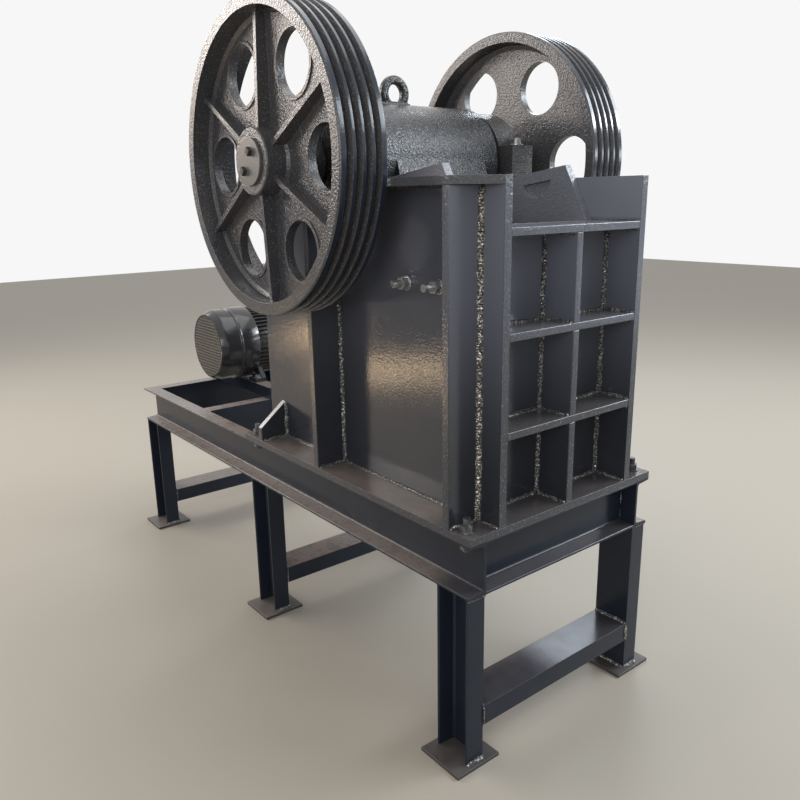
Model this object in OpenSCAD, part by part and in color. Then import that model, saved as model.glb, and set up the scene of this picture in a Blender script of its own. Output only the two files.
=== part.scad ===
// Jaw crusher on a welded skid with legs, motor behind it, two grooved flywheels.
// Frame: +X towards the ribbed front wall, +Y towards the motor's drive end, +Z up.
// Origin on the floor under the middle of the skid. Every module works in the crusher's own
// frame, with x = 0 at the front of the base plate and z = 0 on its top, and placed() moves it.

/* [Crusher body] */
// Clear width between the side plates
chamber_w = 490; // [440:5:560]
// Thickness of the side plates, ribs and front and rear walls
plate_t = 24; // [16:1:30]
// Length of the side plates
body_len = 1135; // [1100:5:1200]
// Height of the side plates above the base plate
side_h = 851; // [820:1:880]
// Height at which the side plates' rear edge starts to slope forwards
rear_h = 560; // [480:5:620]
// Length of the base plate
base_len = 1160; // [1150:5:1220]
// How far ribs, flanges and base plate stand out from the side plates
rib_out = 101; // [90:1:120]
// Thickness of the base plate
base_t = 20; // [14:1:30]
// Thickness of the front shelves and the top flanges
shelf_t = 20; // [12:1:26]
// Distance from the front edges back to the front wall
front_depth = 106; // [80:1:130]
// Height of the front wall's top plate
front_h = 735; // [700:1:760]
// Height of the upper shelf
shelf_2 = 490; // [440:1:520]
// Height of the lower shelf
shelf_1 = 245; // [200:1:280]
// Front face of the front side rib, behind the front edges
rib_1 = 76; // [60:1:100]
// Front face of the rib under the shaft, behind the front edges
rib_2 = 676; // [650:1:690]
// Front face of the rear gusset, behind the front edges
gusset_x = 1034; // [1000:1:1050]
// Height of the rear gusset at the side plate
gusset_h = 126; // [90:1:160]
// Height of the rear gusset at its outer end
gusset_toe = 45; // [20:1:60]
// Height of the rear wall
rear_wall_h = 420; // [380:5:460]

/* [Crushing chamber] */
// Thickness of a jaw plate under its teeth
jaw_base = 30; // [24:1:40]
// Height of the teeth of both jaw plates
tooth_h = 16; // [10:1:22]
// Number of teeth on the moving jaw plate
tooth_n = 8; // [6:1:10]
// Gap between the jaws at the bottom
discharge_gap = 35; // [30:1:50]
// Lean of the moving jaw's face
jaw_angle = 17.2; // [16:0.1:17.4]
// Height at which the jaw plates' toothed faces begin
jaw_foot = 40; // [30:1:60]
// Length of the moving jaw plate
jaw_len = 700; // [640:5:710]
// Width of the moving jaw's casting below the barrel
jaw_body_w = 400; // [360:5:410]
// Width of the raised pad above the moving jaw plate
pad_w = 340; // [280:5:350]
// Height of that pad over the casting's face
pad_t = 15; // [8:1:24]
// Gap between the moving jaw and each cheek plate
jaw_side_gap = 8; // [6:1:12]
// Thickness of the cheek plates
cheek_t = 25; // [18:1:30]
// Height of the cheek plates' top front corner
cheek_top = 886; // [870:1:895]
// Slope of the cheek plates' top edge
cheek_slope = 8; // [5:0.1:10]
// Distance of that corner behind the front edges
cheek_x = 241; // [230:1:250]
// Radius of the half-round hand pocket in a cheek plate
pocket_r = 55; // [45:1:60]
// Depth of that pocket
pocket_d = 12; // [6:1:16]

/* [Shaft and barrel] */
// Distance of the shaft behind the front edges
shaft_x = 682; // [670:1:695]
// Height of the shaft above the base plate
shaft_z = 903.5; // [895:0.5:915]
// Radius of the shaft inside the barrel
shaft_core_r = 60; // [55:1:70]
// Radius of the shaft in its bearings
shaft_bearing_r = 50; // [44:1:56]
// Radius of the shaft in the flywheels
shaft_hub_r = 45; // [38:1:48]
// Radial running clearance of the shaft
run_gap = 0.05; // [0.02:0.01:0.08]
// Radius of the moving jaw's barrel
barrel_r = 170; // [165:1:180]
// Length of the barrel
barrel_len = 470; // [450:1:476]
// Distance of the lifting eye from the barrel's middle
eye_y = 43; // [30:1:80]
// Outer radius of the lifting eye
eye_r = 51; // [46:1:56]
// Height of the eye's middle above the barrel
eye_h = 30; // [28:1:40]
// Radius of the lifting eye's hole
eye_hole_r = 26; // [20:1:30]
// Thickness of the lifting eye
eye_t = 25; // [18:1:32]

/* [Bearing housings] */
// Length of a bearing housing
housing_len = 420; // [400:1:440]
// Inner face of a bearing housing from the middle
housing_in = 250; // [248:1:254]
// Width of a bearing housing
housing_w = 90; // [80:1:96]
// Radius of the bearing cap's dome
dome_r = 160; // [150:1:166]
// Radius of the housing below the shaft
seat_r = 157; // [140:1:160]
// Height of a housing's ears above the shaft
ear_h = 52; // [44:1:60]
// Radius of the bearing bolts
bearing_bolt_r = 11; // [8:0.5:14]

/* [Flywheels] */
// Radius of the flywheels
wheel_r = 412; // [400:1:430]
// Inner plane of a flywheel from the middle
wheel_in = 386; // [380:1:392]
// Width of the rim
rim_w = 139; // [132:1:150]
// Thickness of the rim at the lands
rim_t = 35; // [30:1:44]
// Depth of the outer recess, from the rim's face to the web
web_recess = 57; // [50:1:64]
// Thickness of the web
web_t = 22; // [16:1:28]
// Number of belt grooves
groove_n = 4; // [2:1:5]
// Pitch of the belt grooves
groove_pitch = 28; // [24:1:29]
// Width of a belt groove at the top
groove_w = 20; // [16:1:22]
// Depth of a belt groove
groove_d = 18; // [14:1:22]
// Number of windows and of spoke ribs
window_n = 6; // [5:1:6]
// Radius of a window
window_r = 80; // [70:1:84]
// Pitch radius of the windows
window_pitch = 269; // [262:1:274]
// Width of the raised lip round a window
lip_w = 10; // [6:1:11]
// Height of that lip
lip_h = 4; // [3:0.5:6]
// Thickness of a spoke rib
spoke_t = 15; // [12:1:20]
// Depth of a spoke rib at the hub
spoke_hub_d = 40; // [36:1:50]
// Depth of a spoke rib at the rim
spoke_rim_d = 28; // [20:1:36]
// Radius of the hub
hub_r = 88; // [80:1:94]
// How far the hub stands out past the rim's face
hub_out = 7; // [2:1:12]
// Radius of the hub's cap disc
cap_r = 62; // [54:1:70]
// Thickness of that disc
cap_t = 8; // [4:1:10]

/* [Skid and legs] */
// Length of the skid
skid_len = 2153; // [2120:1:2200]
// Depth of the skid's channels
beam_h = 146; // [120:1:160]
// Width of a channel's flanges
beam_fl = 59; // [50:1:65]
// Thickness of a channel's web
web_wall = 8; // [6:0.5:10]
// Thickness of a channel's flanges
flange_wall = 9; // [7:0.5:12]
// Depth of the leg channels
leg_d = 116; // [100:1:130]
// Length of the legs
leg_h = 485; // [420:5:560]
// Distance of the end legs from the skid's ends
leg_inset = 5; // [0:1:10]
// Side of the square foot plates
foot_s = 150; // [140:1:170]
// Thickness of the foot plates
foot_t = 10; // [8:1:14]
// Height of the leg ties' top above the foot plates
tie_top = 156; // [130:1:200]
// Height of the leg ties
tie_h = 59; // [44:1:64]
// Rear edge of the cross beam, behind the front
cross_x = 1645; // [1620:1:1670]

/* [Motor] */
// Distance of the motor's axis behind the front
motor_x = 1869; // [1860:1:1880]
// Height of the motor's axis above its rails
motor_h = 160; // [160:1:170]
// Fan end of the motor, on the -Y side
motor_fan_y = -171; // [-185:1:-160]
// Drive end face of the motor
motor_end_y = 364; // [350:1:370]
// Radius of the fan cowl
cowl_r = 158; // [154:1:158]
// Radius of the cowl's grille
grille_r = 131; // [120:1:135]
// Length of the cowl
cowl_len = 176; // [160:1:190]
// Radius over the cooling fins
fin_r = 150; // [144:1:152]
// Number of cooling fins
fin_n = 48; // [36:4:52]
// Height of the motor rails
rail_h = 50; // [45:1:65]
// Width of the motor rails
rail_w = 60; // [56:1:80]
// Middle of the near motor rail
rail_y1 = -5; // [-12:1:0]
// Middle of the far motor rail
rail_y2 = 256; // [250:1:262]
// Radius of the motor's pulley
pulley_r = 90; // [80:1:110]

/* [Hidden] */
half_w = chamber_w / 2;
out_w = half_w + plate_t;
edge_w = out_w + rib_out;
base_z = foot_t + leg_h + beam_h + base_t;
skid_z = -base_t;
flange_slope = 1.5;
root_r = 9;
toe_r = 4;
beam_z = skid_z - beam_h;
floor_z = beam_z - leg_h - foot_t;
web_y = edge_w - beam_fl;
wall_x = -front_depth - plate_t;
bolt_gap = 0.6;
cheek_in = half_w - cheek_t;
jaw_half = cheek_in - jaw_side_gap;
wheel_out = wheel_in + rim_w;
web_out = wheel_out - web_recess;
web_in = web_out - web_t;
hub_face = wheel_out + hub_out;
hub_in = housing_in + housing_w + 12;
collar_y = housing_in - 5.5;
seat_notch_r = seat_r + 3;
ear_bolt_share = 0.44;
bearing_bolt_x = seat_notch_r + ear_bolt_share * (housing_len / 2 - seat_notch_r);
flange_z = side_h - shelf_t;
fixed_crest_x = wall_x - jaw_base - tooth_h;
moving_crest_x = fixed_crest_x - discharge_gap;
jaw_foot_x = moving_crest_x - (jaw_base + tooth_h) / cos(jaw_angle);
tooth_pitch = 2 * jaw_half / tooth_n;
discharge_x = 735;
cheek_lap = 32;
cheek_foot = 25;
cheek_bolt_z = 586;
cheek_bolt_x = [222, 350];
cheek_bolt_r = 10;
cheek_head_r = 21;
cheek_head_t = 11;
cheek_stud = 55;
pocket_x = 104;
pocket_z = 46;
pocket_up = 12;
hold_bolt_r = 10;
hold_stub = 20;
top_rear_x = shaft_x + housing_len / 2 + 12;
hold_bolt_in = 30;
hold_bolt_y = edge_w - hold_bolt_in;
hold_bolt_x = [42, base_len - 42];
motor_z = skid_z + rail_h + motor_h;
rail_top = skid_z + rail_h;
motor_shaft_r = 21;
foot_web = 20;
motor_foot_y = [motor_fan_y + cowl_len + foot_web / 2 + 1, rail_y2];
cowl_back_y = motor_fan_y + cowl_len;
shield_l = 58;
shield_y = motor_end_y - shield_l;
foot_waist = 62;
foot_arch = [60, 40];
cowl_step = 90;
shield_r = fin_r - 4;
shield_rim_w = 22;
shield_cone = [14, 8];
shield_step_r = 90;
shield_step_w = 46;
shield_nose_r = 62;
box_y = 100;
box_neck = [110, 120, 30];
box_body = [150, 150, 40];
box_lid = [158, 158, 14];
toggle_z = 150;
toggle_front_x = -500;
toggle_t = 36;
toggle_plate_t = 26;
toggle_side = 20;
seat_gap = 0.3;
plate_gap = 0.1;
eye_soft = 8;
eye_foot = 5;
eye_seat_z = shaft_z + barrel_r + 2;
block_depth = 120;
block_h = 120;
rod_z = 68;
rod_r = 11;
pin_r = 14;
eye_slot_r = pin_r + 6;
swing_room = 12;
rod_tail = 150;
eye_wall = 11;
spring_len = 114;
spring_r = 28;
wire_r = 6;
spring_turns = 11;
motor_foot_half = 160;
motor_pad_l = 65;
motor_pad_w = 54;
motor_pad_t = 16;
fin_h = 16;

steel = [0.16, 0.16, 0.17];
bright = [0.55, 0.55, 0.56];
cast = [0.13, 0.13, 0.14];

// Moves the crusher's frame to the part's frame.
module placed() {
    translate([skid_len / 2, 0, base_z]) children();
}

// Mirrors to the +Y side when s is 1, and leaves the -Y side when s is -1.
module on_side(s) {
    mirror([0, s > 0 ? 1 : 0, 0]) children();
}

// A flat outline in X and Z, from y0 to y0 + t.
module plate_xz(y0, t) {
    translate([0, y0 + t, 0]) rotate([90, 0, 0]) linear_extrude(t) children();
}

// A round bar along Y from y0 to y1.
module bar_y(r, y0, y1, fn = 64) {
    translate([0, y0, 0]) rotate([-90, 0, 0]) cylinder(r = r, h = y1 - y0, $fn = fn);
}

// A turned shape about an axis along Y, from a profile of [radius, |y|] points.
module turned_y(points, fn = 96) {
    rotate([90, 0, 0]) rotate_extrude($fn = fn) polygon(points);
}

// A rolled channel's outline as [distance from the web's back, height] points: sloping
// flanges, round roots and round toes. The lower half is worked out, and then mirrored.
function channel_points(depth, flange) =
    let (
        root = flange_wall + flange_slope,
        tip = flange_wall - flange_slope,
        half = concat(
            [[flange, 0], [flange, tip - toe_r]],
            [for (a = [30:30:90]) [flange - toe_r * (1 - cos(a)), tip - toe_r * (1 - sin(a))]],
            [for (a = [0:22.5:90])
                [web_wall + root_r * (1 - sin(a)), root + root_r * (1 - cos(a))]]
        )
    )
    concat(
        [[0, 0]], half,
        [for (i = [len(half) - 1:-1:0]) [half[i][0], depth - half[i][1]]], [[0, depth]]
    );

// Extrudes an outline in Y and Z along +X.
module along_x(length) {
    rotate([90, 0, 90]) linear_extrude(length) children();
}

module base_plate() {
    color(steel) placed() difference() {
        translate([-base_len, -edge_w, -base_t]) cube([base_len, 2 * edge_w, base_t]);
        translate([-discharge_x, -half_w + 10, -base_t - 1])
            cube([discharge_x + wall_x - jaw_base, chamber_w - 20, base_t + 2]);
        for (x = hold_bolt_x, s = [-1, 1])
            translate([-x, s * hold_bolt_y, -base_t - 1])
                cylinder(r = hold_bolt_r + bolt_gap, h = base_t + 2, $fn = 32);
    }
}

// The side plate: straight front and rear edges, a sloping rear top, and a round notch in
// which the bearing housing sits.
module side_plate(s) {
    color(steel) placed() on_side(s) plate_xz(-out_w, plate_t) difference() {
        polygon([
            [0, 0], [0, side_h], [-top_rear_x, side_h],
            [-body_len, rear_h], [-body_len, 0]
        ]);
        translate([-shaft_x, shaft_z]) circle(r = seat_notch_r, $fn = 96);
        for (x = cheek_bolt_x)
            translate([-x, cheek_bolt_z]) circle(r = cheek_bolt_r + bolt_gap, $fn = 32);
    }
}

module front_wall() {
    color(steel) placed() translate([wall_x, -half_w, 0])
        cube([plate_t, chamber_w, front_h - shelf_t]);
}

module front_shelves() {
    color(steel) placed() {
        for (top = [shelf_1, shelf_2])
            translate([-front_depth, -half_w, top - shelf_t])
                cube([front_depth, chamber_w, shelf_t]);
        translate([wall_x, -half_w, front_h - shelf_t])
            cube([front_depth + plate_t, chamber_w, shelf_t]);
    }
}

module front_center_ribs() {
    color(steel) placed() for (span = [[0, shelf_1], [shelf_1, shelf_2], [shelf_2, front_h]])
        translate([-front_depth, -plate_t / 2, span[0]])
            cube([front_depth, plate_t, span[1] - shelf_t - span[0]]);
}

// The rear wall, with a hole through which the tension rod passes.
module rear_wall() {
    color(steel) placed() difference() {
        translate([-gusset_x - plate_t, -half_w, 0]) cube([plate_t, chamber_w, rear_wall_h]);
        translate([-gusset_x - plate_t - 1, 0, rod_z]) rotate([0, 90, 0])
            cylinder(r = rod_r + bolt_gap, h = plate_t + 2, $fn = 32);
    }
}

// The outside ribs of one side plate: front rib, rib under the shaft and rear gusset.
module stiffeners(s) {
    color(steel) placed() on_side(s) {
        translate([-rib_1 - plate_t, -edge_w, 0]) cube([plate_t, rib_out, flange_z]);
        translate([-rib_2 - plate_t, -edge_w, 0])
            cube([plate_t, rib_out, shaft_z - seat_notch_r]);
        translate([-gusset_x, 0, 0]) rotate([0, 0, 180]) rotate([90, 0, 90])
            linear_extrude(plate_t)
                polygon([[out_w, 0], [edge_w, 0], [edge_w, gusset_toe], [out_w, gusset_h]]);
    }
}

// The flange along the top of a side plate, cut on the slant at the front and open where
// the bearing housing drops in.
module top_flange(s) {
    color(steel) placed() on_side(s) translate([0, 0, flange_z]) linear_extrude(shelf_t)
        difference() {
            polygon([
                [0, -out_w], [-rib_1, -edge_w], [-top_rear_x, -edge_w],
                [-top_rear_x, -out_w]
            ]);
            translate([-shaft_x - seat_notch_r, -edge_w - 1])
                square([2 * seat_notch_r, rib_out + 2]);
            for (side = [-1, 1])
                translate([-shaft_x + side * bearing_bolt_x, -housing_in - housing_w / 2])
                    circle(r = bearing_bolt_r + bolt_gap, $fn = 32);
        }
}

module bearing_bores() {
    translate([-shaft_x, 0, shaft_z]) bar_y(shaft_bearing_r, -edge_w, -half_w + 1);
    for (side = [-1, 1])
        translate([-shaft_x + side * bearing_bolt_x, -housing_in - housing_w / 2, flange_z])
            cylinder(r = bearing_bolt_r + bolt_gap, h = shaft_z + ear_h + 1 - flange_z, $fn = 32);
}

// The lower half of a bearing housing: ears on the flange and a round belly in the notch.
module bearing_housing(s) {
    color(cast) placed() on_side(s) difference() {
        plate_xz(-housing_in - housing_w, housing_w) intersection() {
            union() {
                translate([-shaft_x, shaft_z]) circle(r = seat_r, $fn = 96);
                translate([-shaft_x - housing_len / 2, side_h])
                    square([housing_len, shaft_z - side_h]);
            }
            translate([-shaft_x - housing_len, shaft_z - 2 * seat_r])
                square([2 * housing_len, 2 * seat_r]);
        }
        bearing_bores();
    }
}

// The bearing cap: a dome over the shaft with a flat ear at each end.
module bearing_cap(s) {
    color(cast) placed() on_side(s) difference() {
        plate_xz(-housing_in - housing_w, housing_w) intersection() {
            union() {
                translate([-shaft_x, shaft_z]) circle(r = dome_r, $fn = 96);
                translate([-shaft_x - housing_len / 2, shaft_z]) square([housing_len, ear_h]);
            }
            translate([-shaft_x - housing_len, shaft_z])
                square([2 * housing_len, 2 * dome_r]);
        }
        bearing_bores();
    }
}

// A hexagon bolt along Z: on top at z = 0 a washer and a nut or head, and the stud's end
// stands over it by stub; under the grip a second nut.
module bolt_z(r, grip, stub) {
    cylinder(r = 2 * r, h = 0.3 * r, $fn = 48);
    translate([0, 0, 0.3 * r]) cylinder(r = 1.7 * r, h = 1.6 * r, $fn = 6);
    translate([0, 0, -grip - 2 * r])
        cylinder(r = r, h = grip + 3.9 * r + stub - 1, $fn = 32);
    translate([0, 0, -grip - 1.4 * r]) cylinder(r = 1.7 * r, h = 1.4 * r, $fn = 6);
}

module bearing_bolts() {
    color(bright) placed() for (s = [-1, 1], side = [-1, 1])
        translate([
            -shaft_x + side * bearing_bolt_x, s * (housing_in + housing_w / 2),
            shaft_z + ear_h
        ])
            bolt_z(bearing_bolt_r, shaft_z + ear_h - flange_z, 0);
}

// A row of teeth between y = -half and y = half, base at x = 0, crests at x = -depth.
module tooth_row(half, base, pitch, n) {
    polygon(concat(
        [[0, -half], [0, half], [-base, half]],
        [for (i = [n - 1:-1:0], k = [0:3])
            let (y = -half + i * pitch, f = [0.86, 0.64, 0.36, 0.14][k])
                [-base - (k == 1 || k == 2 ? tooth_h : 0), y + f * pitch]],
        [[-base, -half]]
    ));
}

module fixed_jaw_plate() {
    color(cast) placed() {
        translate([wall_x, 0, 0]) linear_extrude(front_h)
            tooth_row(cheek_in, jaw_base, 2 * cheek_in / (tooth_n + 1), tooth_n + 1);
        for (s = [-1, 1])
            translate([wall_x - jaw_base, s > 0 ? cheek_in : -half_w, 0])
                cube([jaw_base, cheek_t, front_h]);
    }
}

// One cheek plate: it follows the fixed jaw, slants back above it, and its top edge is
// square to the middle of the gap between the jaws. The half-round pocket is a hand hold.
module cheek_plate(s) {
    front_x = wall_x - jaw_base;
    lean = tan(jaw_angle);
    rise = tan(cheek_slope);
    rear_foot = moving_crest_x - cheek_lap + (jaw_foot - cheek_foot) * lean;
    corner_z = (cheek_top + (rear_foot + cheek_x + cheek_foot * lean) * rise)
        / (1 + lean * rise);
    corner_x = rear_foot - (corner_z - cheek_foot) * lean;
    color(cast) placed() on_side(s) difference() {
        plate_xz(-half_w, cheek_t) difference() {
            polygon([
                [front_x, cheek_foot], [front_x, front_h + 3], [-cheek_x, cheek_top],
                [corner_x, corner_z], [rear_foot, cheek_foot]
            ]);
            for (x = cheek_bolt_x)
                translate([-x, cheek_bolt_z]) circle(r = cheek_bolt_r + bolt_gap, $fn = 32);
        }
        plate_xz(-cheek_in - pocket_d, pocket_d + 1)
            translate([-cheek_x - pocket_x, cheek_top - pocket_z]) rotate(cheek_slope)
                difference() {
                    translate([0, pocket_up]) circle(r = pocket_r, $fn = 64);
                    translate([-pocket_r - 1, 0]) square([2 * pocket_r + 2, 2 * pocket_r]);
                }
        for (x = cheek_bolt_x) translate([-x, 0, cheek_bolt_z])
            bar_y(cheek_head_r + bolt_gap, -cheek_in - cheek_head_t, -cheek_in + 1, 48);
    }
}

// The cheek plates' bolts: a round head sunk in the plate, a washer and a nut outside.
module cheek_bolts() {
    color(bright) placed() for (s = [-1, 1], x = cheek_bolt_x) on_side(s)
        translate([-x, 0, cheek_bolt_z]) {
            bar_y(cheek_bolt_r, -out_w - cheek_stud, -cheek_in - 1, 32);
            bar_y(cheek_head_r, -cheek_in - cheek_head_t, -cheek_in - 1, 48);
            bar_y(2 * cheek_bolt_r, -out_w - 5, -out_w, 32);
            translate([0, -out_w - 5, 0]) rotate([90, 0, 0])
                cylinder(r = 1.75 * cheek_bolt_r, h = 20, $fn = 6);
        }
}

// The beam across the rear wall that carries the toggle plate's rear end.
module toggle_block() {
    color(cast) placed() difference() {
        translate([-gusset_x, -half_w, toggle_z - block_h / 2])
            cube([block_depth, chamber_w, block_h]);
        translate([-gusset_x + block_depth, 0, toggle_z])
            bar_y(toggle_t / 2 + seat_gap, -half_w - 1, half_w + 1, 48);
    }
}

// The toggle plate: a flat plate with a round bead along each end.
module toggle_plate() {
    rear_x = -gusset_x + block_depth;
    half = jaw_half - toggle_side;
    color(cast) placed() {
        translate([rear_x, -half, toggle_z - toggle_plate_t / 2])
            cube([toggle_front_x - rear_x, 2 * half, toggle_plate_t]);
        for (x = [rear_x, toggle_front_x])
            translate([x, 0, toggle_z]) bar_y(toggle_t / 2, -half, half, 48);
    }
}

// The tension rod, with a long-eyed link at the moving jaw and a nut behind the spring.
// The eye leaves room all round the jaw's pin, so that the jaw can swing.
module tension_rod() {
    link_x = toggle_front_x + 30;
    tail_x = -gusset_x - plate_t - rod_tail;
    nut_h = 18;
    color(bright) placed() {
        translate([tail_x, 0, rod_z]) rotate([0, 90, 0]) {
            cylinder(r = rod_r, h = link_x - eye_slot_r - 4 - tail_x, $fn = 32);
            translate([0, 0, 10]) cylinder(r = 2 * rod_r, h = nut_h, $fn = 6);
            translate([0, 0, 10 + nut_h]) cylinder(r = spring_r + 10, h = 8, $fn = 48);
        }
        plate_xz(-10, 20) difference() {
            slot(link_x, eye_slot_r + eye_wall);
            slot(link_x, eye_slot_r);
        }
    }
}

// A flat slot at the rod's height, of radius r, from x forwards by the room for the swing.
module slot(x, r) {
    for (end = [x, x + swing_room]) translate([end, rod_z]) circle(r = r, $fn = 48);
    translate([x, rod_z - r]) square([swing_room, 2 * r]);
}

// The close-wound coil spring behind the rear wall.
module tension_spring() {
    color(cast) placed() translate([-gusset_x - plate_t - spring_len, 0, rod_z])
        rotate([0, 90, 0]) rotate_extrude($fn = 48) for (i = [0:spring_turns - 1])
            translate([
                spring_r,
                wire_r + i * (spring_len - 2 * wire_r) / (spring_turns - 1)
            ])
                circle(r = wire_r, $fn = 16);
}

module hold_down_bolts() {
    color(bright) placed() for (x = hold_bolt_x, s = [-1, 1])
        translate([-x, s * hold_bolt_y, 0])
            bolt_z(hold_bolt_r, base_t + flange_wall + 2 * flange_slope, hold_stub);
}

module skid_beam(s) {
    color(steel) placed() on_side(s) difference() {
        translate([-skid_len, -web_y, beam_z]) along_x(skid_len)
            polygon([for (p = channel_points(beam_h, beam_fl)) [-p[0], p[1]]]);
        for (x = hold_bolt_x)
            translate([-x, -hold_bolt_y, skid_z - flange_wall - root_r])
                cylinder(r = hold_bolt_r + bolt_gap, h = flange_wall + root_r + 1, $fn = 32);
    }
}

// The channels between the side beams: the front one opens forwards, the others backwards.
module skid_cross_members() {
    outline = channel_points(beam_h, beam_fl);
    color(steel) placed() translate([0, 0, beam_z]) {
        translate([-beam_fl, 0, 0]) plate_xz(-web_y, 2 * web_y) polygon(outline);
        for (x = [skid_len, cross_x]) translate([-x + beam_fl, 0, 0])
            plate_xz(-web_y, 2 * web_y) polygon([for (p = outline) [-p[0], p[1]]]);
    }
}

leg_xs = [leg_inset + leg_d / 2, skid_len / 2, skid_len - leg_inset - leg_d / 2];

// One leg: an upright channel with its flanges pointing outwards.
module leg() {
    translate([-leg_d / 2, -web_y, 0]) linear_extrude(leg_h)
        polygon([for (p = channel_points(leg_d, beam_fl)) [p[1], -p[0]]]);
}

module legs() {
    color(steel) placed() for (x = leg_xs, s = [-1, 1]) on_side(s)
        translate([-x, 0, beam_z - leg_h]) leg();
}

module foot_plates() {
    color(steel) placed() for (x = leg_xs, s = [-1, 1])
        translate([-x - foot_s / 2, s * (edge_w - beam_fl / 2) - foot_s / 2, floor_z])
            cube([foot_s, foot_s, foot_t]);
}

// The low ties between the legs: channels laid with the web on top.
module leg_ties() {
    top = floor_z + foot_t + tie_top;
    color(steel) placed() for (x = leg_xs) translate([-x - leg_d / 2, 0, top])
        plate_xz(-web_y, 2 * web_y)
            polygon([for (p = channel_points(leg_d, tie_h)) [p[1], -p[0]]]);
}

// The motor rails: channels laid with the web on top, from the rear beam to the cross beam.
module motor_rails() {
    color(steel) placed() for (y = [rail_y1, rail_y2])
        translate([-skid_len, y - rail_w / 2, rail_top])
            along_x(skid_len - cross_x + beam_fl)
                polygon([for (p = channel_points(rail_w, rail_h)) [p[1], -p[0]]]);
}

// The motor's frame: a barrel with cooling fins, and two webs with pads that stand on the
// rails.
module motor_body() {
    core_r = fin_r - fin_h;
    out = motor_foot_half - 8;
    waist = motor_foot_half - foot_waist;
    color(cast) placed() translate([-motor_x, 0, motor_z]) {
        plate_xz(cowl_back_y - 10, shield_y - cowl_back_y + 10) polygon([
            for (i = [0:fin_n - 1], k = [0:3])
                let (
                    r = k == 1 || k == 2 ? fin_r : core_r,
                    a = (i + 0.5) * 360 / fin_n + [-3.2, -1.6, 1.6, 3.2][k] * 57.3 / r
                )
                    [r * cos(a), r * sin(a)]
        ]);
        for (y = motor_foot_y) plate_xz(y - foot_web / 2, foot_web) difference() {
            polygon([
                [-out, 4 - motor_h], [out, 4 - motor_h], [out, 12 - motor_h],
                [waist, -motor_h / 2], [-waist, -motor_h / 2], [-out, 12 - motor_h]
            ]);
            polygon([
                [-waist - 5, -motor_h], [waist + 5, -motor_h], [waist + 5, 10 - motor_h],
                [foot_arch[0], foot_arch[1] - core_r], [-foot_arch[0], foot_arch[1] - core_r],
                [-waist - 5, 10 - motor_h]
            ]);
        }
        for (y = [rail_y1, rail_y2], x = [-motor_foot_half, motor_foot_half - motor_pad_l])
            translate([x, y - motor_pad_w / 2, -motor_h])
                cube([motor_pad_l, motor_pad_w, motor_pad_t]);
    }
}

// The fan cowl: a turned shell, with a grille of crossing bars over its end.
module motor_fan_cowl() {
    wall = cowl_r - fin_r - seat_gap;
    y_tip = -motor_fan_y;
    color(steel) placed() translate([-motor_x, 0, motor_z]) {
        turned_y([
            [grille_r, y_tip], [grille_r + 6, y_tip], [cowl_r - 4, y_tip - 32],
            [cowl_r - 2, y_tip - cowl_step], [cowl_r, y_tip - cowl_step - 2],
            [cowl_r, y_tip - cowl_len], [cowl_r - wall, y_tip - cowl_len],
            [cowl_r - wall - 2, y_tip - cowl_step - 2],
            [cowl_r - wall - 5, y_tip - 33], [grille_r, y_tip - 4]
        ]);
        intersection() {
            bar_y(grille_r + 0.5, motor_fan_y + 1, motor_fan_y + 4, 96);
            union() for (k = [-6:6]) {
                translate([k * 20 - 3, motor_fan_y, -grille_r])
                    cube([6, 5, 2 * grille_r]);
                translate([-grille_r, motor_fan_y, k * 20 - 3])
                    cube([2 * grille_r, 5, 6]);
            }
        }
    }
}

// The drive end shield: a stepped turned casting round the shaft.
module motor_end_shield() {
    color(cast) placed() translate([-motor_x, 0, motor_z]) mirror([0, 1, 0]) turned_y([
        [motor_shaft_r, shield_y], [shield_r, shield_y], [shield_r, shield_y + shield_rim_w],
        [shield_r - shield_cone[0], shield_y + shield_rim_w + shield_cone[1]],
        [shield_step_r, shield_y + shield_step_w], [shield_nose_r, motor_end_y],
        [motor_shaft_r, motor_end_y]
    ]);
}

// A block that stands in the middle of its place.
module centred_block(size) {
    translate([-size[0] / 2, -size[1] / 2, 0]) cube(size);
}

module motor_terminal_box() {
    color(cast) placed() translate([-motor_x, shield_y - box_y, motor_z + fin_r]) {
        centred_block(box_neck);
        translate([0, 0, box_neck[2]]) centred_block(box_body);
        translate([0, 0, box_neck[2] + box_body[2]]) centred_block(box_lid);
    }
}

module motor_shaft() {
    color(bright) placed() translate([-motor_x, 0, motor_z])
        bar_y(motor_shaft_r, shield_y, wheel_out + 4);
}

// The motor's pulley, in line with the far flywheel's grooves.
module motor_pulley() {
    color(cast) placed() translate([-motor_x, 0, motor_z]) mirror([0, 1, 0])
        turned_y(concat(
            [[motor_shaft_r, wheel_in + 14], [pulley_r, wheel_in + 14]],
            groove_points(pulley_r),
            [[pulley_r, wheel_out - 14], [motor_shaft_r, wheel_out - 14]]
        ));
}

// The outline of the belt grooves on a rim of radius r, in step with the flywheels.
function groove_points(r) = [
    for (i = [0:groove_n - 1], k = [0:3])
        let (mid = (wheel_in + wheel_out) / 2 + (i - (groove_n - 1) / 2) * groove_pitch)
            [k == 1 || k == 2 ? r - groove_d : r,
             mid + [-groove_w / 2, -groove_w / 5, groove_w / 5, groove_w / 2][k]]
];

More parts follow.
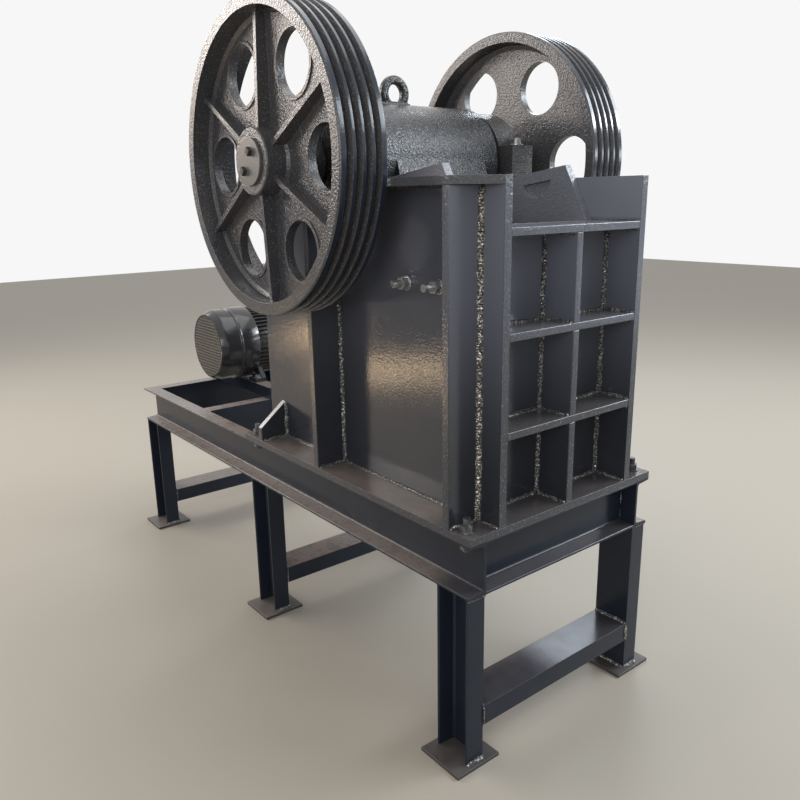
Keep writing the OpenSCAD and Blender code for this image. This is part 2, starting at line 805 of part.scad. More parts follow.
// The shaft: thick in the barrel, stepped down to its bearings and to the flywheels.
module eccentric_shaft() {
    core = barrel_len / 2 + 3;
    seat = collar_y;
    color(bright) placed() translate([-shaft_x, 0, shaft_z]) turned_y([
        [0, -hub_face + 1], [shaft_hub_r, -hub_face + 1], [shaft_hub_r, -hub_in],
        [shaft_bearing_r - run_gap, -hub_in], [shaft_bearing_r - run_gap, -seat],
        [shaft_bearing_r + 9, -seat], [shaft_bearing_r + 9, -core],
        [shaft_core_r - run_gap, -core], [shaft_core_r - run_gap, core],
        [shaft_bearing_r + 9, core], [shaft_bearing_r + 9, seat],
        [shaft_bearing_r - run_gap, seat], [shaft_bearing_r - run_gap, hub_in],
        [shaft_hub_r, hub_in], [shaft_hub_r, hub_face - 1], [0, hub_face - 1]
    ]);
}

// A flywheel: grooved rim, web, hub, and on the outer side lipped windows and spoke ribs.
module flywheel(s) {
    root = wheel_r - rim_t;
    color(cast) placed() translate([-shaft_x, 0, shaft_z]) on_side(s) {
        difference() {
            union() {
                turned_y(concat(
                    [[shaft_hub_r, hub_in], [hub_r, hub_in], [hub_r + 4, web_in - 8],
                     [hub_r + 12, web_in], [root - 14, web_in], [root, web_in - 10],
                     [root + 3, wheel_in], [wheel_r - 4, wheel_in],
                     [wheel_r, wheel_in + 4]],
                    groove_points(wheel_r),
                    [[wheel_r, wheel_out - 4], [wheel_r - 4, wheel_out],
                     [root, wheel_out], [root - 2, web_out + 8], [root - 12, web_out],
                     [hub_r + 10, web_out], [hub_r + 2, web_out + 8],
                     [hub_r, hub_face - 3], [hub_r - 3, hub_face],
                     [shaft_hub_r, hub_face]]
                ), 128);
                for (i = [0:window_n - 1]) rotate([0, i * 360 / window_n, 0])
                    translate([window_pitch, 0, 0])
                        bar_y(window_r + lip_w, -web_out - lip_h, -web_out + 1, 64);
            }
            for (i = [0:window_n - 1]) rotate([0, i * 360 / window_n, 0])
                translate([window_pitch, 0, 0])
                    bar_y(window_r, -wheel_out, -wheel_in, 64);
        }
        for (i = [0:window_n - 1]) rotate([0, (i + 0.5) * 360 / window_n, 0])
            translate([0, 0, -spoke_t / 2]) linear_extrude(spoke_t) polygon([
                [hub_r - 6, -web_out + 1], [hub_r - 6, -web_out - spoke_hub_d],
                [root + 2, -web_out - spoke_rim_d], [root + 2, -web_out + 1]
            ]);
    }
}

// The cap discs on the shaft's ends, each held by two square-headed bolts.
module hub_caps() {
    head = 18;
    color(bright) placed() translate([-shaft_x, 0, shaft_z]) for (s = [-1, 1]) on_side(s) {
        bar_y(cap_r, -hub_face - cap_t, -hub_face, 64);
        for (k = [-1, 1]) rotate([0, -54, 0]) translate([k * 30, -hub_face - cap_t - 6, 0])
            cube([head, 14, head], center = true);
    }
}

// The moving jaw casting: barrel, leaning front slab with a raised pad above the jaw plate,
// three rear ribs, a low pad under the lifting eye, and a foot with the toggle seat and the
// tension rod's pin.
module moving_jaw() {
    lean = tan(jaw_angle);
    top_z = shaft_z - 50;
    top_x = jaw_foot_x - (top_z - jaw_foot) * lean;
    slab = 55;
    rib = 30;
    slab_taper = 150;
    rib_top = [40, 100];
    rib_knee = [50, 190];
    rib_heel = [20, 45];
    half = jaw_body_w / 2;
    pad_top = (shaft_z - jaw_foot) / cos(jaw_angle);
    eye_foot_y = sqrt(eye_r * eye_r - pow(eye_seat_z - shaft_z - barrel_r - eye_h, 2)) + eye_foot;
    color(cast) placed() difference() {
        union() {
            translate([-shaft_x, 0, shaft_z]) turned_y([
                [0, -barrel_len / 2], [barrel_r - 8, -barrel_len / 2],
                [barrel_r, -barrel_len / 2 + 8], [barrel_r, barrel_len / 2 - 8],
                [barrel_r - 8, barrel_len / 2], [0, barrel_len / 2]
            ]);
            plate_xz(-half, jaw_body_w) polygon([
                [jaw_foot_x, jaw_foot], [top_x, top_z], [top_x - slab - 40, top_z],
                [jaw_foot_x - slab, jaw_foot + slab_taper], [jaw_foot_x - slab, jaw_foot]
            ]);
            translate([jaw_foot_x, 0, jaw_foot]) rotate([0, -jaw_angle, 0])
                translate([-slab / 2, -pad_w / 2, jaw_len + 6])
                    cube([slab / 2 + pad_t, pad_w, pad_top - jaw_len - 6]);
            for (y = [6 - half, -rib / 2, half - rib - 6])
                plate_xz(y, rib) polygon([
                    [jaw_foot_x - slab + 8, toggle_z - 36], [top_x - slab + 8, top_z - 8],
                    [-shaft_x - barrel_r + rib_top[0], shaft_z - rib_top[1]],
                    [toggle_front_x - rib_knee[0], toggle_z + rib_knee[1]],
                    [toggle_front_x - rib_heel[0], toggle_z + rib_heel[1]],
                    [toggle_front_x + 10, toggle_z + 30], [toggle_front_x + 10, toggle_z - 36]
                ]);
            plate_xz(3 - half, jaw_body_w - 6) polygon([
                [jaw_foot_x - slab + 12, toggle_z - 44],
                [jaw_foot_x - slab - 20, toggle_z + 56],
                [toggle_front_x + 3, toggle_z + 56], [toggle_front_x + 3, toggle_z - 38]
            ]);
            for (y = [-38, 18]) plate_xz(y, 20) polygon([
                [jaw_foot_x - slab + 16, jaw_foot + 6], [jaw_foot_x - slab - 10, toggle_z],
                [toggle_front_x + 20, toggle_z - 30], [toggle_front_x + 4, jaw_foot + 44],
                [toggle_front_x + 4, jaw_foot + 6]
            ]);
            translate([toggle_front_x + 30, 0, rod_z]) bar_y(pin_r, -44, 44, 48);
            translate([
                -shaft_x - eye_t / 2 - eye_foot, -eye_y - eye_foot_y, eye_seat_z - barrel_r / 8
            ])
                cube([eye_t + 2 * eye_foot, 2 * eye_foot_y, barrel_r / 8]);
        }
        translate([-shaft_x, 0, shaft_z]) bar_y(shaft_core_r, -half_w, half_w, 96);
        translate([toggle_front_x, 0, toggle_z])
            bar_y(toggle_t / 2 + seat_gap, -half_w, half_w, 48);
    }
}

// The moving jaw plate lies on the casting's leaning front, teeth forwards.
module moving_jaw_plate() {
    color(cast) placed() translate([jaw_foot_x, 0, jaw_foot]) rotate([0, -jaw_angle, 0])
        translate([plate_gap, 0, 0]) mirror([1, 0, 0]) linear_extrude(jaw_len)
            tooth_row(jaw_half, jaw_base, tooth_pitch, tooth_n);
}

// The lifting eye on top of the barrel: a thick ring that faces forwards, with rounded edges
// and a flat foot.
module lifting_eye() {
    ring = [(eye_r - eye_hole_r) / 2, eye_t / 2];
    core = ring - [eye_soft, eye_soft];
    soft_cut = eye_soft * sqrt(0.5);
    color(cast) placed() intersection() {
        translate([-shaft_x, -eye_y, shaft_z + barrel_r + eye_h]) rotate([0, 90, 0])
            rotate_extrude($fn = 96) translate([eye_hole_r + ring[0], 0]) polygon([
                for (side = [[1, 1, 0], [-1, 1, 1], [-1, -1, 0], [1, -1, 1]], k = [0:2])
                    let (turn = side[2] > 0 ? 2 - k : k)
                        [side[0] * (core[0] + [eye_soft, soft_cut, 0][turn]),
                         side[1] * (core[1] + [0, soft_cut, eye_soft][turn])]
            ]);
        translate([-shaft_x - eye_t, -eye_y - 2 * eye_r, eye_seat_z])
            cube([2 * eye_t, 4 * eye_r, 4 * eye_r]);
    }
}

base_plate();
side_plate(-1);  // side_plate_right
side_plate(1);  // side_plate_left
front_wall();
front_shelves();
front_center_ribs();
rear_wall();
stiffeners(-1);  // stiffeners_right
stiffeners(1);  // stiffeners_left
top_flange(-1);  // top_flange_right
top_flange(1);  // top_flange_left
bearing_housing(-1);  // bearing_housing_right
bearing_housing(1);  // bearing_housing_left
bearing_cap(-1);  // bearing_cap_right
bearing_cap(1);  // bearing_cap_left
bearing_bolts();
fixed_jaw_plate();
cheek_plate(-1);  // cheek_plate_right
cheek_plate(1);  // cheek_plate_left
cheek_bolts();
toggle_block();
toggle_plate();
tension_rod();
tension_spring();
hold_down_bolts();
skid_beam(-1);  // skid_beam_right
skid_beam(1);  // skid_beam_left
skid_cross_members();
legs();
foot_plates();
leg_ties();
motor_rails();
motor_body();
motor_fan_cowl();
motor_end_shield();
motor_terminal_box();
motor_shaft();
motor_pulley();
eccentric_shaft();
flywheel(-1);  // flywheel_right
flywheel(1);  // flywheel_left
hub_caps();
moving_jaw();
moving_jaw_plate();
lifting_eye();
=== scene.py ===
"""Looks of a jaw crusher on a welded skid with legs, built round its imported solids.

Everything is in metres in the row frame: +X towards the ribbed front wall, +Y towards the
motor's drive end, +Z up. New pieces are worked out in millimetres in the crusher's own
frame, where x = 0 is the front edge of the base plate and z = 0 its top face, and
Place.row() brings them over. The near side is the one at -Y.
"""

import logging
import math
from collections.abc import Sequence
from dataclasses import dataclass, field
from enum import Enum
from typing import ClassVar

import bpy
import numpy as np
from mathutils import Matrix, Vector


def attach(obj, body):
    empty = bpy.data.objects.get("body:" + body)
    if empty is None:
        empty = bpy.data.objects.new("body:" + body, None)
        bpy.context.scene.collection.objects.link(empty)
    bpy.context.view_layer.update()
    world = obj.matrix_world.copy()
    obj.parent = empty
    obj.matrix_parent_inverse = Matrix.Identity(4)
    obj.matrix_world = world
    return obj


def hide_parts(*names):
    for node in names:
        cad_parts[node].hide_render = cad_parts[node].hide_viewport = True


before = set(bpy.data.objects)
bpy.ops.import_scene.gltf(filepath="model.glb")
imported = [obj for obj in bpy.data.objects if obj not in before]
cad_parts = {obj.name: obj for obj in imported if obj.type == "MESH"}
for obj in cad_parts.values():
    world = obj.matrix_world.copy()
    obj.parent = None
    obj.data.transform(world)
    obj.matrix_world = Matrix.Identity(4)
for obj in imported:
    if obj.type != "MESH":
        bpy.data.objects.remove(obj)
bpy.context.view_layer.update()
LOG = logging.getLogger("jaw_crusher")

Colour = tuple[float, float, float]
Point = tuple[float, float, float]
Span = tuple[float, float]
Socket = bpy.types.NodeSocket

WHITE: Colour = (1.0, 1.0, 1.0)

# Directions of weld beads on the near half of the machine.
FORWARD, BACK = (1, 0, 0), (-1, 0, 0)
OUT, INWARD = (0, -1, 0), (0, 1, 0)
UP, DOWN = (0, 0, 1), (0, 0, -1)


class Slot(Enum):
    """The material slots."""

    ENAMEL = "enamel"
    CAST = "cast_enamel"
    MOTOR = "motor_enamel"
    MANGANESE = "manganese_steel"
    MACHINED = "machined_steel"
    FASTENER = "fastener"


class Axis(Enum):
    """A direction of the row frame, by its place in a vector."""

    X = 0
    Y = 1
    Z = 2


class Place:
    """Where the crusher's own frame sits in the row frame, and two axes along Y in it."""

    SHIFT_MM = np.array([1076.5, 0.0, 661.0])
    SHAFT_MM = np.array([-682.0, 0.0, 903.5])
    MOTOR_MM = np.array([-1869.0, 0.0, 190.0])

    @classmethod
    def row(cls, points_mm: Sequence[float] | np.ndarray) -> np.ndarray:
        """Points in millimetres of the crusher's frame, as metres in the row frame."""
        return (np.asarray(points_mm, float) + cls.SHIFT_MM) / 1000.0


def linked(name: str, data: bpy.types.ID) -> bpy.types.Object:
    """A new object of that mesh, lamp or camera, linked into the scene at the origin."""
    made = bpy.data.objects.new(name, data)
    bpy.context.scene.collection.objects.link(made)
    return made


@dataclass
class Shell:
    """Points and faces gathered from grids, as whole arrays, in the crusher's frame.

    Attributes:
        points: arrays of points, each (n, 3), in millimetres.
        faces: arrays of faces, each (m, 3) or (m, k), that count within all the points.
        count: how many points there are so far.
    """

    points: list[np.ndarray] = field(default_factory=list)
    faces: list[np.ndarray] = field(default_factory=list)
    count: int = 0

    def add(self, points: np.ndarray, faces: Sequence[np.ndarray]) -> None:
        """Adds one closed surface.

        Args:
            points: (n, 3) points in millimetres.
            faces: arrays of corner numbers within those points.
        """
        self.points.append(np.asarray(points, float).reshape(-1, 3))
        self.faces.extend(np.asarray(f, int) + self.count for f in faces if len(f))
        self.count += len(self.points[-1])

    def piece(self, name: str, body: str, slot: Slot, material: bpy.types.Material,
              smooth_deg: float = 40.0) -> bpy.types.Object:
        """Makes the mesh object and lets it ride on a body.

        Args:
            name: the piece's name.
            body: the CAD body it moves with.
            slot: not used.
            material: the finish itself.
            smooth_deg: edges that turn by less than this are shaded smooth.

        Returns:
            The linked object, at the origin.
        """
        mesh = bpy.data.meshes.new(name)
        faces = [row for block in self.faces for row in block.tolist()]
        mesh.from_pydata(Place.row(np.concatenate(self.points)), [], faces)
        mesh.validate()
        mesh.polygons.foreach_set("use_smooth", np.ones(len(mesh.polygons), bool))
        mesh.set_sharp_from_angle(angle=math.radians(smooth_deg))
        mesh.update()
        mesh.materials.append(material)
        piece = linked(name, mesh)
        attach(piece, body)
        LOG.info("built %s: %d faces", name, len(mesh.polygons))
        return piece


def ring_quads(rings: int, around: int, closed: bool = False) -> np.ndarray:
    """Quads between rings of points, each ring joined to itself.

    Args:
        rings: number of rings along the path.
        around: points on each ring.
        closed: whether the last ring joins the first.

    Returns:
        (n, 4) corner numbers, counted ring by ring.
    """
    i = np.arange(rings if closed else rings - 1)[:, None]
    j = np.arange(around)[None, :]
    nxt = (i + 1) % rings
    k = (j + 1) % around
    quads = np.stack([i * around + j, i * around + k, nxt * around + k, nxt * around + j], -1)
    return quads.reshape(-1, 4)


def tube(rings: np.ndarray, closed: bool = False) -> tuple[np.ndarray, list[np.ndarray]]:
    """A closed tube through rings of points, with a face over each end.

    Args:
        rings: (n, m, 3) points, counter-clockwise as seen against the path.
        closed: whether the path comes back to its start, so that no end is capped.

    Returns:
        The points and the arrays of faces.
    """
    n, m, _ = rings.shape
    faces = [ring_quads(n, m, closed)]
    if not closed:
        faces += [np.arange(m)[None, ::-1], (n - 1) * m + np.arange(m)[None, :]]
    return rings.reshape(-1, 3), faces


def turned(profile: Sequence[tuple[float, float]], centre: np.ndarray, segments: int) -> np.ndarray:
    """Rings of a shape turned about an axis along Y through a centre.

    A point of the profile at radius r and place y goes, at the angle a, to
    centre + (r cos a, y, r sin a).

    Args:
        profile: (radius, y) points of a closed outline, in millimetres.
        centre: a point of the axis.
        segments: number of rings around.

    Returns:
        (segments, len(profile), 3) points.
    """
    outline = np.asarray(profile, float)
    angle = np.linspace(0.0, 2 * math.pi, segments, endpoint=False)[:, None]
    r, y = outline[None, :, 0], outline[None, :, 1]
    return centre + np.stack([r * np.cos(angle), y + 0 * angle, r * np.sin(angle)], -1)


def boxes(low: np.ndarray, high: np.ndarray) -> tuple[np.ndarray, list[np.ndarray]]:
    """Many boxes at once, from their lowest and highest corners.

    Args:
        low: (n, 3) lowest corners in millimetres.
        high: (n, 3) highest corners.

    Returns:
        The points and one array of quads.
    """
    pick = np.array([[i & 1, i >> 1 & 1, i >> 2 & 1] for i in range(8)])
    points = low[:, None, :] + pick[None] * (high - low)[:, None, :]
    quads = np.array([
        [0, 2, 3, 1], [4, 5, 7, 6], [0, 1, 5, 4], [2, 6, 7, 3], [0, 4, 6, 2], [1, 3, 7, 5]
    ])
    faces = quads[None] + 8 * np.arange(len(low))[:, None, None]
    return points.reshape(-1, 3), [faces.reshape(-1, 4)]


@dataclass(frozen=True)
class Grain:
    """One layer of surface relief.

    Attributes:
        scale: cells per metre.
        height: height in metres.
        strength: strength of the bump, from 0 to 1.
        detail: octaves.
    """

    scale: float
    height: float
    strength: float = 1.0
    detail: float = 2.0


@dataclass(frozen=True)
class Pattern:
    """Blotches cut out of fractal noise by a smooth step.

    Attributes:
        scale: cells per metre.
        detail: octaves.
        rough: share of each further octave.
        low: the noise at which the blotch is 0.
        high: the noise at which it is 1.
    """

    scale: float
    detail: float
    rough: float
    low: float
    high: float


class Graph:
    """A short way to write the nodes of a material or of the world."""

    PEAKS: ClassVar[Span] = (0.60, 0.68)

    def __init__(self, owner: bpy.types.Material | bpy.types.World) -> None:
        """Starts with the owner's node tree emptied."""
        owner.use_nodes = True
        self.owner = owner
        self.tree = owner.node_tree
        self.tree.nodes.clear()
        self.place = self.add("TexCoord")
        self.coords = self.place.outputs["Object"]

    @classmethod
    def of_material(cls, name: str) -> "Graph":
        """The graph of a new material of that name."""
        return cls(bpy.data.materials.new(name))

    def add(self, kind: str, settings: dict | None = None, **sockets: object) -> bpy.types.Node:
        """Adds a node.

        Args:
            kind: the node's type without "ShaderNode".
            settings: attributes of the node itself.
            sockets: input values or sockets to link, by input name with _ for a space.

        Returns:
            The node.
        """
        node = self.tree.nodes.new("ShaderNode" + kind)
        for key, value in (settings or {}).items():
            setattr(node, key, value)
        for key, value in sockets.items():
            self.put(node.inputs[key.replace("_", " ")], value)
        return node

    def put(self, socket: Socket, value: object) -> None:
        """Links a socket or writes a constant into an input.

        Args:
            socket: the input.
            value: an output to link, a colour of three numbers, or the input's own value.
        """
        if isinstance(value, Socket):
            self.tree.links.new(value, socket)
        elif isinstance(value, tuple) and len(value) == 3 and socket.type == "RGBA":
            socket.default_value = (*value, 1.0)
        else:
            socket.default_value = value

    def noise(self, scale: float, detail: float = 3.0, rough: float = 0.5) -> Socket:
        """Fractal noise on object coordinates, from 0 to 1.

        Args:
            scale: cells per metre.
            detail: octaves.
            rough: share of each further octave.

        Returns:
            The factor's socket.
        """
        node = self.add("TexNoise", Vector=self.coords, Scale=scale, Detail=detail,
                        Roughness=rough)
        return node.outputs["Fac"]

    def span(self, value: Socket, low: float, high: float, to_low: float = 0.0,
             to_high: float = 1.0, kind: str = "SMOOTHSTEP") -> Socket:
        """A step of a value from one range to another, held level outside it.

        Args:
            value: the value.
            low: where the step begins; it may be above high.
            high: where it ends.
            to_low: the result at low.
            to_high: the result at high.
            kind: the step's form, SMOOTHSTEP or LINEAR.

        Returns:
            The result's socket.
        """
        node = self.add("MapRange", {"interpolation_type": kind}, Value=value)
        for name, number in (("From Min", low), ("From Max", high), ("To Min", to_low),
                             ("To Max", to_high)):
            node.inputs[name].default_value = number
        return node.outputs[0]

    def pattern(self, pattern: Pattern) -> Socket:
        """The share of that pattern, from 0 to 1."""
        noise = self.noise(pattern.scale, pattern.detail, pattern.rough)
        return self.span(noise, pattern.low, pattern.high)

    def peaks(self, scale: float) -> Socket:
        """Small separate spots, from 0 to 1, with that many cells per metre, where painted glints
        go.
        """
        return self.span(self.noise(scale, 2.0), *self.PEAKS)

    def math(self, kind: str, a: object, b: object = 0.0) -> Socket:
        """One sum of two values.

        Args:
            kind: the operation.
            a: the first value or its socket.
            b: the second.

        Returns:
            The result's socket.
        """
        node = self.add("Math", {"operation": kind})
        self.put(node.inputs[0], a)
        self.put(node.inputs[1], b)
        return node.outputs[0]

    def vector(self, kind: str, a: Socket, b: Point = (0.0, 0.0, 0.0)) -> bpy.types.Node:
        """One sum of a vector and a constant vector.

        Args:
            kind: the operation.
            a: the vector's socket.
            b: the constant.

        Returns:
            The node, whose outputs are a vector and a value.
        """
        node = self.add("VectorMath", {"operation": kind}, Vector=a)
        node.inputs[1].default_value = b
        return node

    def blend(self, share: object, low: object, high: object) -> Socket:
        """A colour between two colours.

        Args:
            share: how much of the second there is, from 0 to 1.
            low: the first colour or its socket.
            high: the second.

        Returns:
            The colour's socket.
        """
        node = self.add("Mix", {"data_type": "RGBA"})
        for place, value in ((0, share), (6, low), (7, high)):
            self.put(node.inputs[place], value)
        return node.outputs[2]

    def part(self, vector: Socket, axis: Axis, absolute: bool = False) -> Socket:
        """One component of a vector, or its size without the sign."""
        value = self.add("SeparateXYZ", Vector=vector).outputs[axis.value]
        return self.math("ABSOLUTE", value) if absolute else value

    def normal(self) -> Socket:
        """The true normal, in the row frame."""
        return self.add("NewGeometry").outputs["True Normal"]

    def bump(self, height: Socket, distance: float, strength: object,
             below: Socket | None = None) -> Socket:
        """A bump over an earlier one.

        Args:
            height: the relief, from 0 to 1.
            distance: its height in metres.
            strength: how much of it shows, from 0 to 1.
            below: the normal of the earlier one.

        Returns:
            The bumped normal.
        """
        node = self.add("Bump", Height=height, Distance=distance, Strength=strength)
        if below is not None:
            self.put(node.inputs["Normal"], below)
        return node.outputs[0]

    def relief(self, grains: Sequence[Grain], share: Socket | None = None,
               below: Socket | None = None) -> Socket | None:
        """Bumps of noise, one over the other.

        Args:
            grains: the layers, coarse first.
            share: how much of them shows, from 0 to 1, or None for all.
            below: the relief under them.

        Returns:
            The bumped normal.
        """
        for grain in grains:
            strength = grain.strength
            if share is not None:
                strength = self.math("MULTIPLY", share, strength)
            below = self.bump(self.noise(grain.scale, grain.detail), grain.height, strength,
                              below)
        return below

    def close(self, kind: str, shader: bpy.types.Node) -> None:
        """Joins a shader to an output of that kind."""
        self.put(self.add(kind).inputs["Surface"], shader.outputs[0])

    def finish(self, colour: object, roughness: object, metallic: object, normal: Socket,
               **constants: float) -> bpy.types.Material:
        """Closes a material's graph with one Principled shader.

        Args:
            colour: base colour.
            roughness: roughness.
            metallic: metallic.
            normal: the bumped normal.
            constants: other inputs, that are the same all over, with _ for a space.

        Returns:
            The finished material.
        """
        shader = self.add("BsdfPrincipled", Base_Color=colour, Roughness=roughness,
                          Metallic=metallic, Normal=normal, **constants)
        self.close("OutputMaterial", shader)
        return self.owner


class Cut(Enum):
    """Where a plate shows the rough edge that the cutting torch left."""

    NONE = "none"
    OUTER = "outer"
    ALL_SIDES = "all_sides"


@dataclass(frozen=True)
class Finish:
    """A painted surface: dark enamel over rolled or cast steel, with dust where it looks up, and
    there a painted warm sheen.

    The constants give where each effect sets in and ends, as places in metres in the row
    frame or as a component of the normal, then how strong it is and in what colour.

    Attributes:
        name: the material's name.
        paint: the enamel's main colour.
        thin: its colour where it went on thin.
        dust_and_sheen: the colour of the dust and overspray that lies on it; on faces that look up
            it also stands for a painted warm reflection from above.
        dust_and_sheen_top: share of dust, with its painted warm sheen, on faces that look up.
        dust_side: share of dust on all other faces.
        dust_front: how much of the dust and painted sheen on top is left at the front end.
        rough: roughness at its smoothest.
        rough_swing: how much rougher it is in its dull patches.
        dust_rough: how much rougher it is where dust covers it.
        ior: index of refraction of the enamel.
        grains: layers of relief, coarse first.
        high: the enamel's colour on the highest parts, where overspray hangs on it and painted
            light from above lies on it.
        painted_glint: strength of the pale painted glints, where the relief's peaks catch the
            light.
        glint_scale: cells of the painted glints per metre.
        cut: where the relief is that of a torch-cut edge, with painted glints on it.
        smooth_beyond: radius about the shaft, in metres, beyond which it is turned smooth, in a
            dark blue that is partly a painted cool reflection.
        mouth: whether the inside of the crusher's mouth is paler and duller: its paint duller, its
            paler colour partly painted light falling into the mouth.
    """

    name: str
    paint: Colour = (0.019, 0.020, 0.024)
    thin: Colour = (0.025, 0.026, 0.030)
    # Brown of dust; on faces that look up it also stands for a painted warm reflection from above.
    dust_and_sheen: Colour = (0.225, 0.185, 0.162)
    dust_and_sheen_top: float = 0.85
    dust_side: float = 0.03
    dust_front: float = 1.0
    rough: float = 0.08
    rough_swing: float = 0.04
    dust_rough: float = 0.16
    ior: float = 1.5
    grains: tuple[Grain, ...] = (Grain(3.0, 0.003, 0.12, 1.0), Grain(210.0, 0.00025, 1.0, 1.0))
    # Paler colour high up: partly overspray, partly painted light from above.
    high: Colour | None = None
    painted_glint: float = 0.0
    glint_scale: float = 200.0
    cut: Cut = Cut.NONE
    smooth_beyond: float = 0.0
    mouth: bool = False

    THIN_PATCHES: ClassVar[Pattern] = Pattern(5.5, 4.0, 0.55, 0.36, 0.66)
    DULL_PATCHES: ClassVar[Pattern] = Pattern(22.0, 5.0, 0.60, 0.38, 0.70)
    BROKEN_DUST: ClassVar[Pattern] = Pattern(11.0, 6.0, 0.60, 0.30, 0.66)
    DUST_BREAK: ClassVar[float] = 0.30
    LOOKS_UP: ClassVar[Span] = (0.55, 0.95)
    FRONT_END_X: ClassVar[Span] = (0.88, 1.0)
    # Colour of the painted glints on the relief's peaks.
    GLINT_COLOUR: ClassVar[Colour] = (0.42, 0.42, 0.43)

    # Where the paler high colour sets in: overspray, and painted light and haze from above.
    OVERSPRAY_AND_LIGHT_Z: ClassVar[Span] = (0.78, 1.38)
    OVERSPRAY_AND_LIGHT_X: ClassVar[Span] = (0.90, 0.96)
    OVERSPRAY_AND_LIGHT_BEHIND: ClassVar[float] = 0.45

    MOUTH_Z: ClassVar[Span] = (1.395, 1.41)
    MOUTH_Y: ClassVar[Span] = (0.2460, 0.2450)
    # The mouth's paler colour: partly the paint's own, partly painted light falling into the mouth.
    MOUTH_PALE_AND_LIT_COLOUR: ClassVar[Colour] = (0.19, 0.198, 0.228)
    MOUTH_COVER: ClassVar[float] = 0.9
    MOUTH_ROUGH: ClassVar[float] = 0.25

    CUT_SIDE_Y: ClassVar[Span] = (0.3675, 0.3690)
    CUT_FRONT_X: ClassVar[Span] = (1.0740, 1.0755)
    CUT_UPRIGHT: ClassVar[Span] = (0.9, 0.5)
    CUT_GRAIN: ClassVar[Grain] = Grain(150.0, 0.0008)
    CUT_COLOUR: ClassVar[Colour] = (0.042, 0.044, 0.050)
    CUT_COVER: ClassVar[float] = 0.5
    # Pale painted glints on the cut edges, standing for sparkles of light.
    CUT_GLINT_COLOUR: ClassVar[Colour] = (0.40, 0.38, 0.36)
    CUT_GLINT: ClassVar[float] = 0.22

    TURNED_EDGE: ClassVar[float] = 0.002
    TURNED_SIDE: ClassVar[Span] = (0.4, 0.6)
    # The turned rim's dark blue: partly its own tone, partly painted shade and a painted cool
    # reflection.
    TURNED_TONE_AND_REFLECTION_COLOUR: ClassVar[Colour] = (0.015, 0.021, 0.033)
    TURNED_GRAIN: ClassVar[float] = 0.12

    def _enamel(self, g: Graph) -> Socket:
        """The enamel's colour: from thin to paint by soft patches, paler high up in front, partly
        overspray and partly painted light from above.

        Args:
            g: the material's graph.

        Returns:
            The colour.
        """
        enamel = g.blend(g.pattern(self.THIN_PATCHES), self.thin, self.paint)
        if self.high is None:
            return enamel
        # Painted light: the front's upper parts paler, as if lit from above, partly overspray.
        overspray_and_light_share = g.math("MULTIPLY", g.span(g.part(g.coords, Axis.Z), *self.OVERSPRAY_AND_LIGHT_Z),
                      g.span(g.part(g.coords, Axis.X), *self.OVERSPRAY_AND_LIGHT_X, self.OVERSPRAY_AND_LIGHT_BEHIND))
        return g.blend(overspray_and_light_share, enamel, self.high)

    def _dust_and_sheen_share(self, g: Graph) -> Socket:
        """How far dust, and on faces that look up a painted warm sheen, covers a point.

        It is the face's upward part, less at the front end, plus a little everywhere, times
        a broken noise.

        Args:
            g: the material's graph.

        Returns:
            The share, from 0 to 1.
        """
        # Painted light: faces that look up turn warm brown, partly dust, partly a painted
        # reflection from above.
        top = g.math("MULTIPLY", g.span(g.part(g.normal(), Axis.Z), *self.LOOKS_UP),
                     self.dust_and_sheen_top)
        top = g.math("MULTIPLY", top,
                     g.span(g.part(g.coords, Axis.X), *self.FRONT_END_X, 1.0, self.dust_front))
        broken = g.math("MULTIPLY", g.pattern(self.BROKEN_DUST), self.DUST_BREAK)
        return g.math("MULTIPLY", g.math("ADD", top, self.dust_side),
                      g.math("ADD", broken, 1.0 - self.DUST_BREAK))

    def _mouth_share(self, g: Graph) -> Socket:
        """How far a point lies inside the crusher's mouth: high up and between the sides."""
        return g.math("MULTIPLY", g.span(g.part(g.coords, Axis.Z), *self.MOUTH_Z),
                      g.span(g.part(g.coords, Axis.Y, True), *self.MOUTH_Y))

    def _cut_share(self, g: Graph) -> Socket:
        """How far a point lies on a cut edge.

        Args:
            g: the material's graph.

        Returns:
            The share, from 0 to 1.
        """
        if self.cut is Cut.ALL_SIDES:
            return g.span(g.part(g.normal(), Axis.Z, True), *self.CUT_UPRIGHT)
        side = g.span(g.part(g.coords, Axis.Y, True), *self.CUT_SIDE_Y)
        front = g.span(g.part(g.coords, Axis.X), *self.CUT_FRONT_X)
        return g.math("MAXIMUM", side, front)

    def _cast_share(self, g: Graph) -> Socket:
        """How far a wheel's surface is as cast: all over, but for its turned rim.

        Args:
            g: the material's graph.

        Returns:
            The share, from 0 to 1.
        """
        away = g.vector("SUBTRACT", g.coords, tuple(Place.row(Place.SHAFT_MM)))
        flat = g.vector("MULTIPLY", away.outputs[0], (1.0, 0.0, 1.0))
        radius = g.vector("LENGTH", flat.outputs[0]).outputs["Value"]
        within = g.span(radius, self.smooth_beyond + self.TURNED_EDGE,
                        self.smooth_beyond - self.TURNED_EDGE)
        side = g.span(g.part(g.normal(), Axis.Y, True), *self.TURNED_SIDE)
        return g.math("MAXIMUM", within, side)

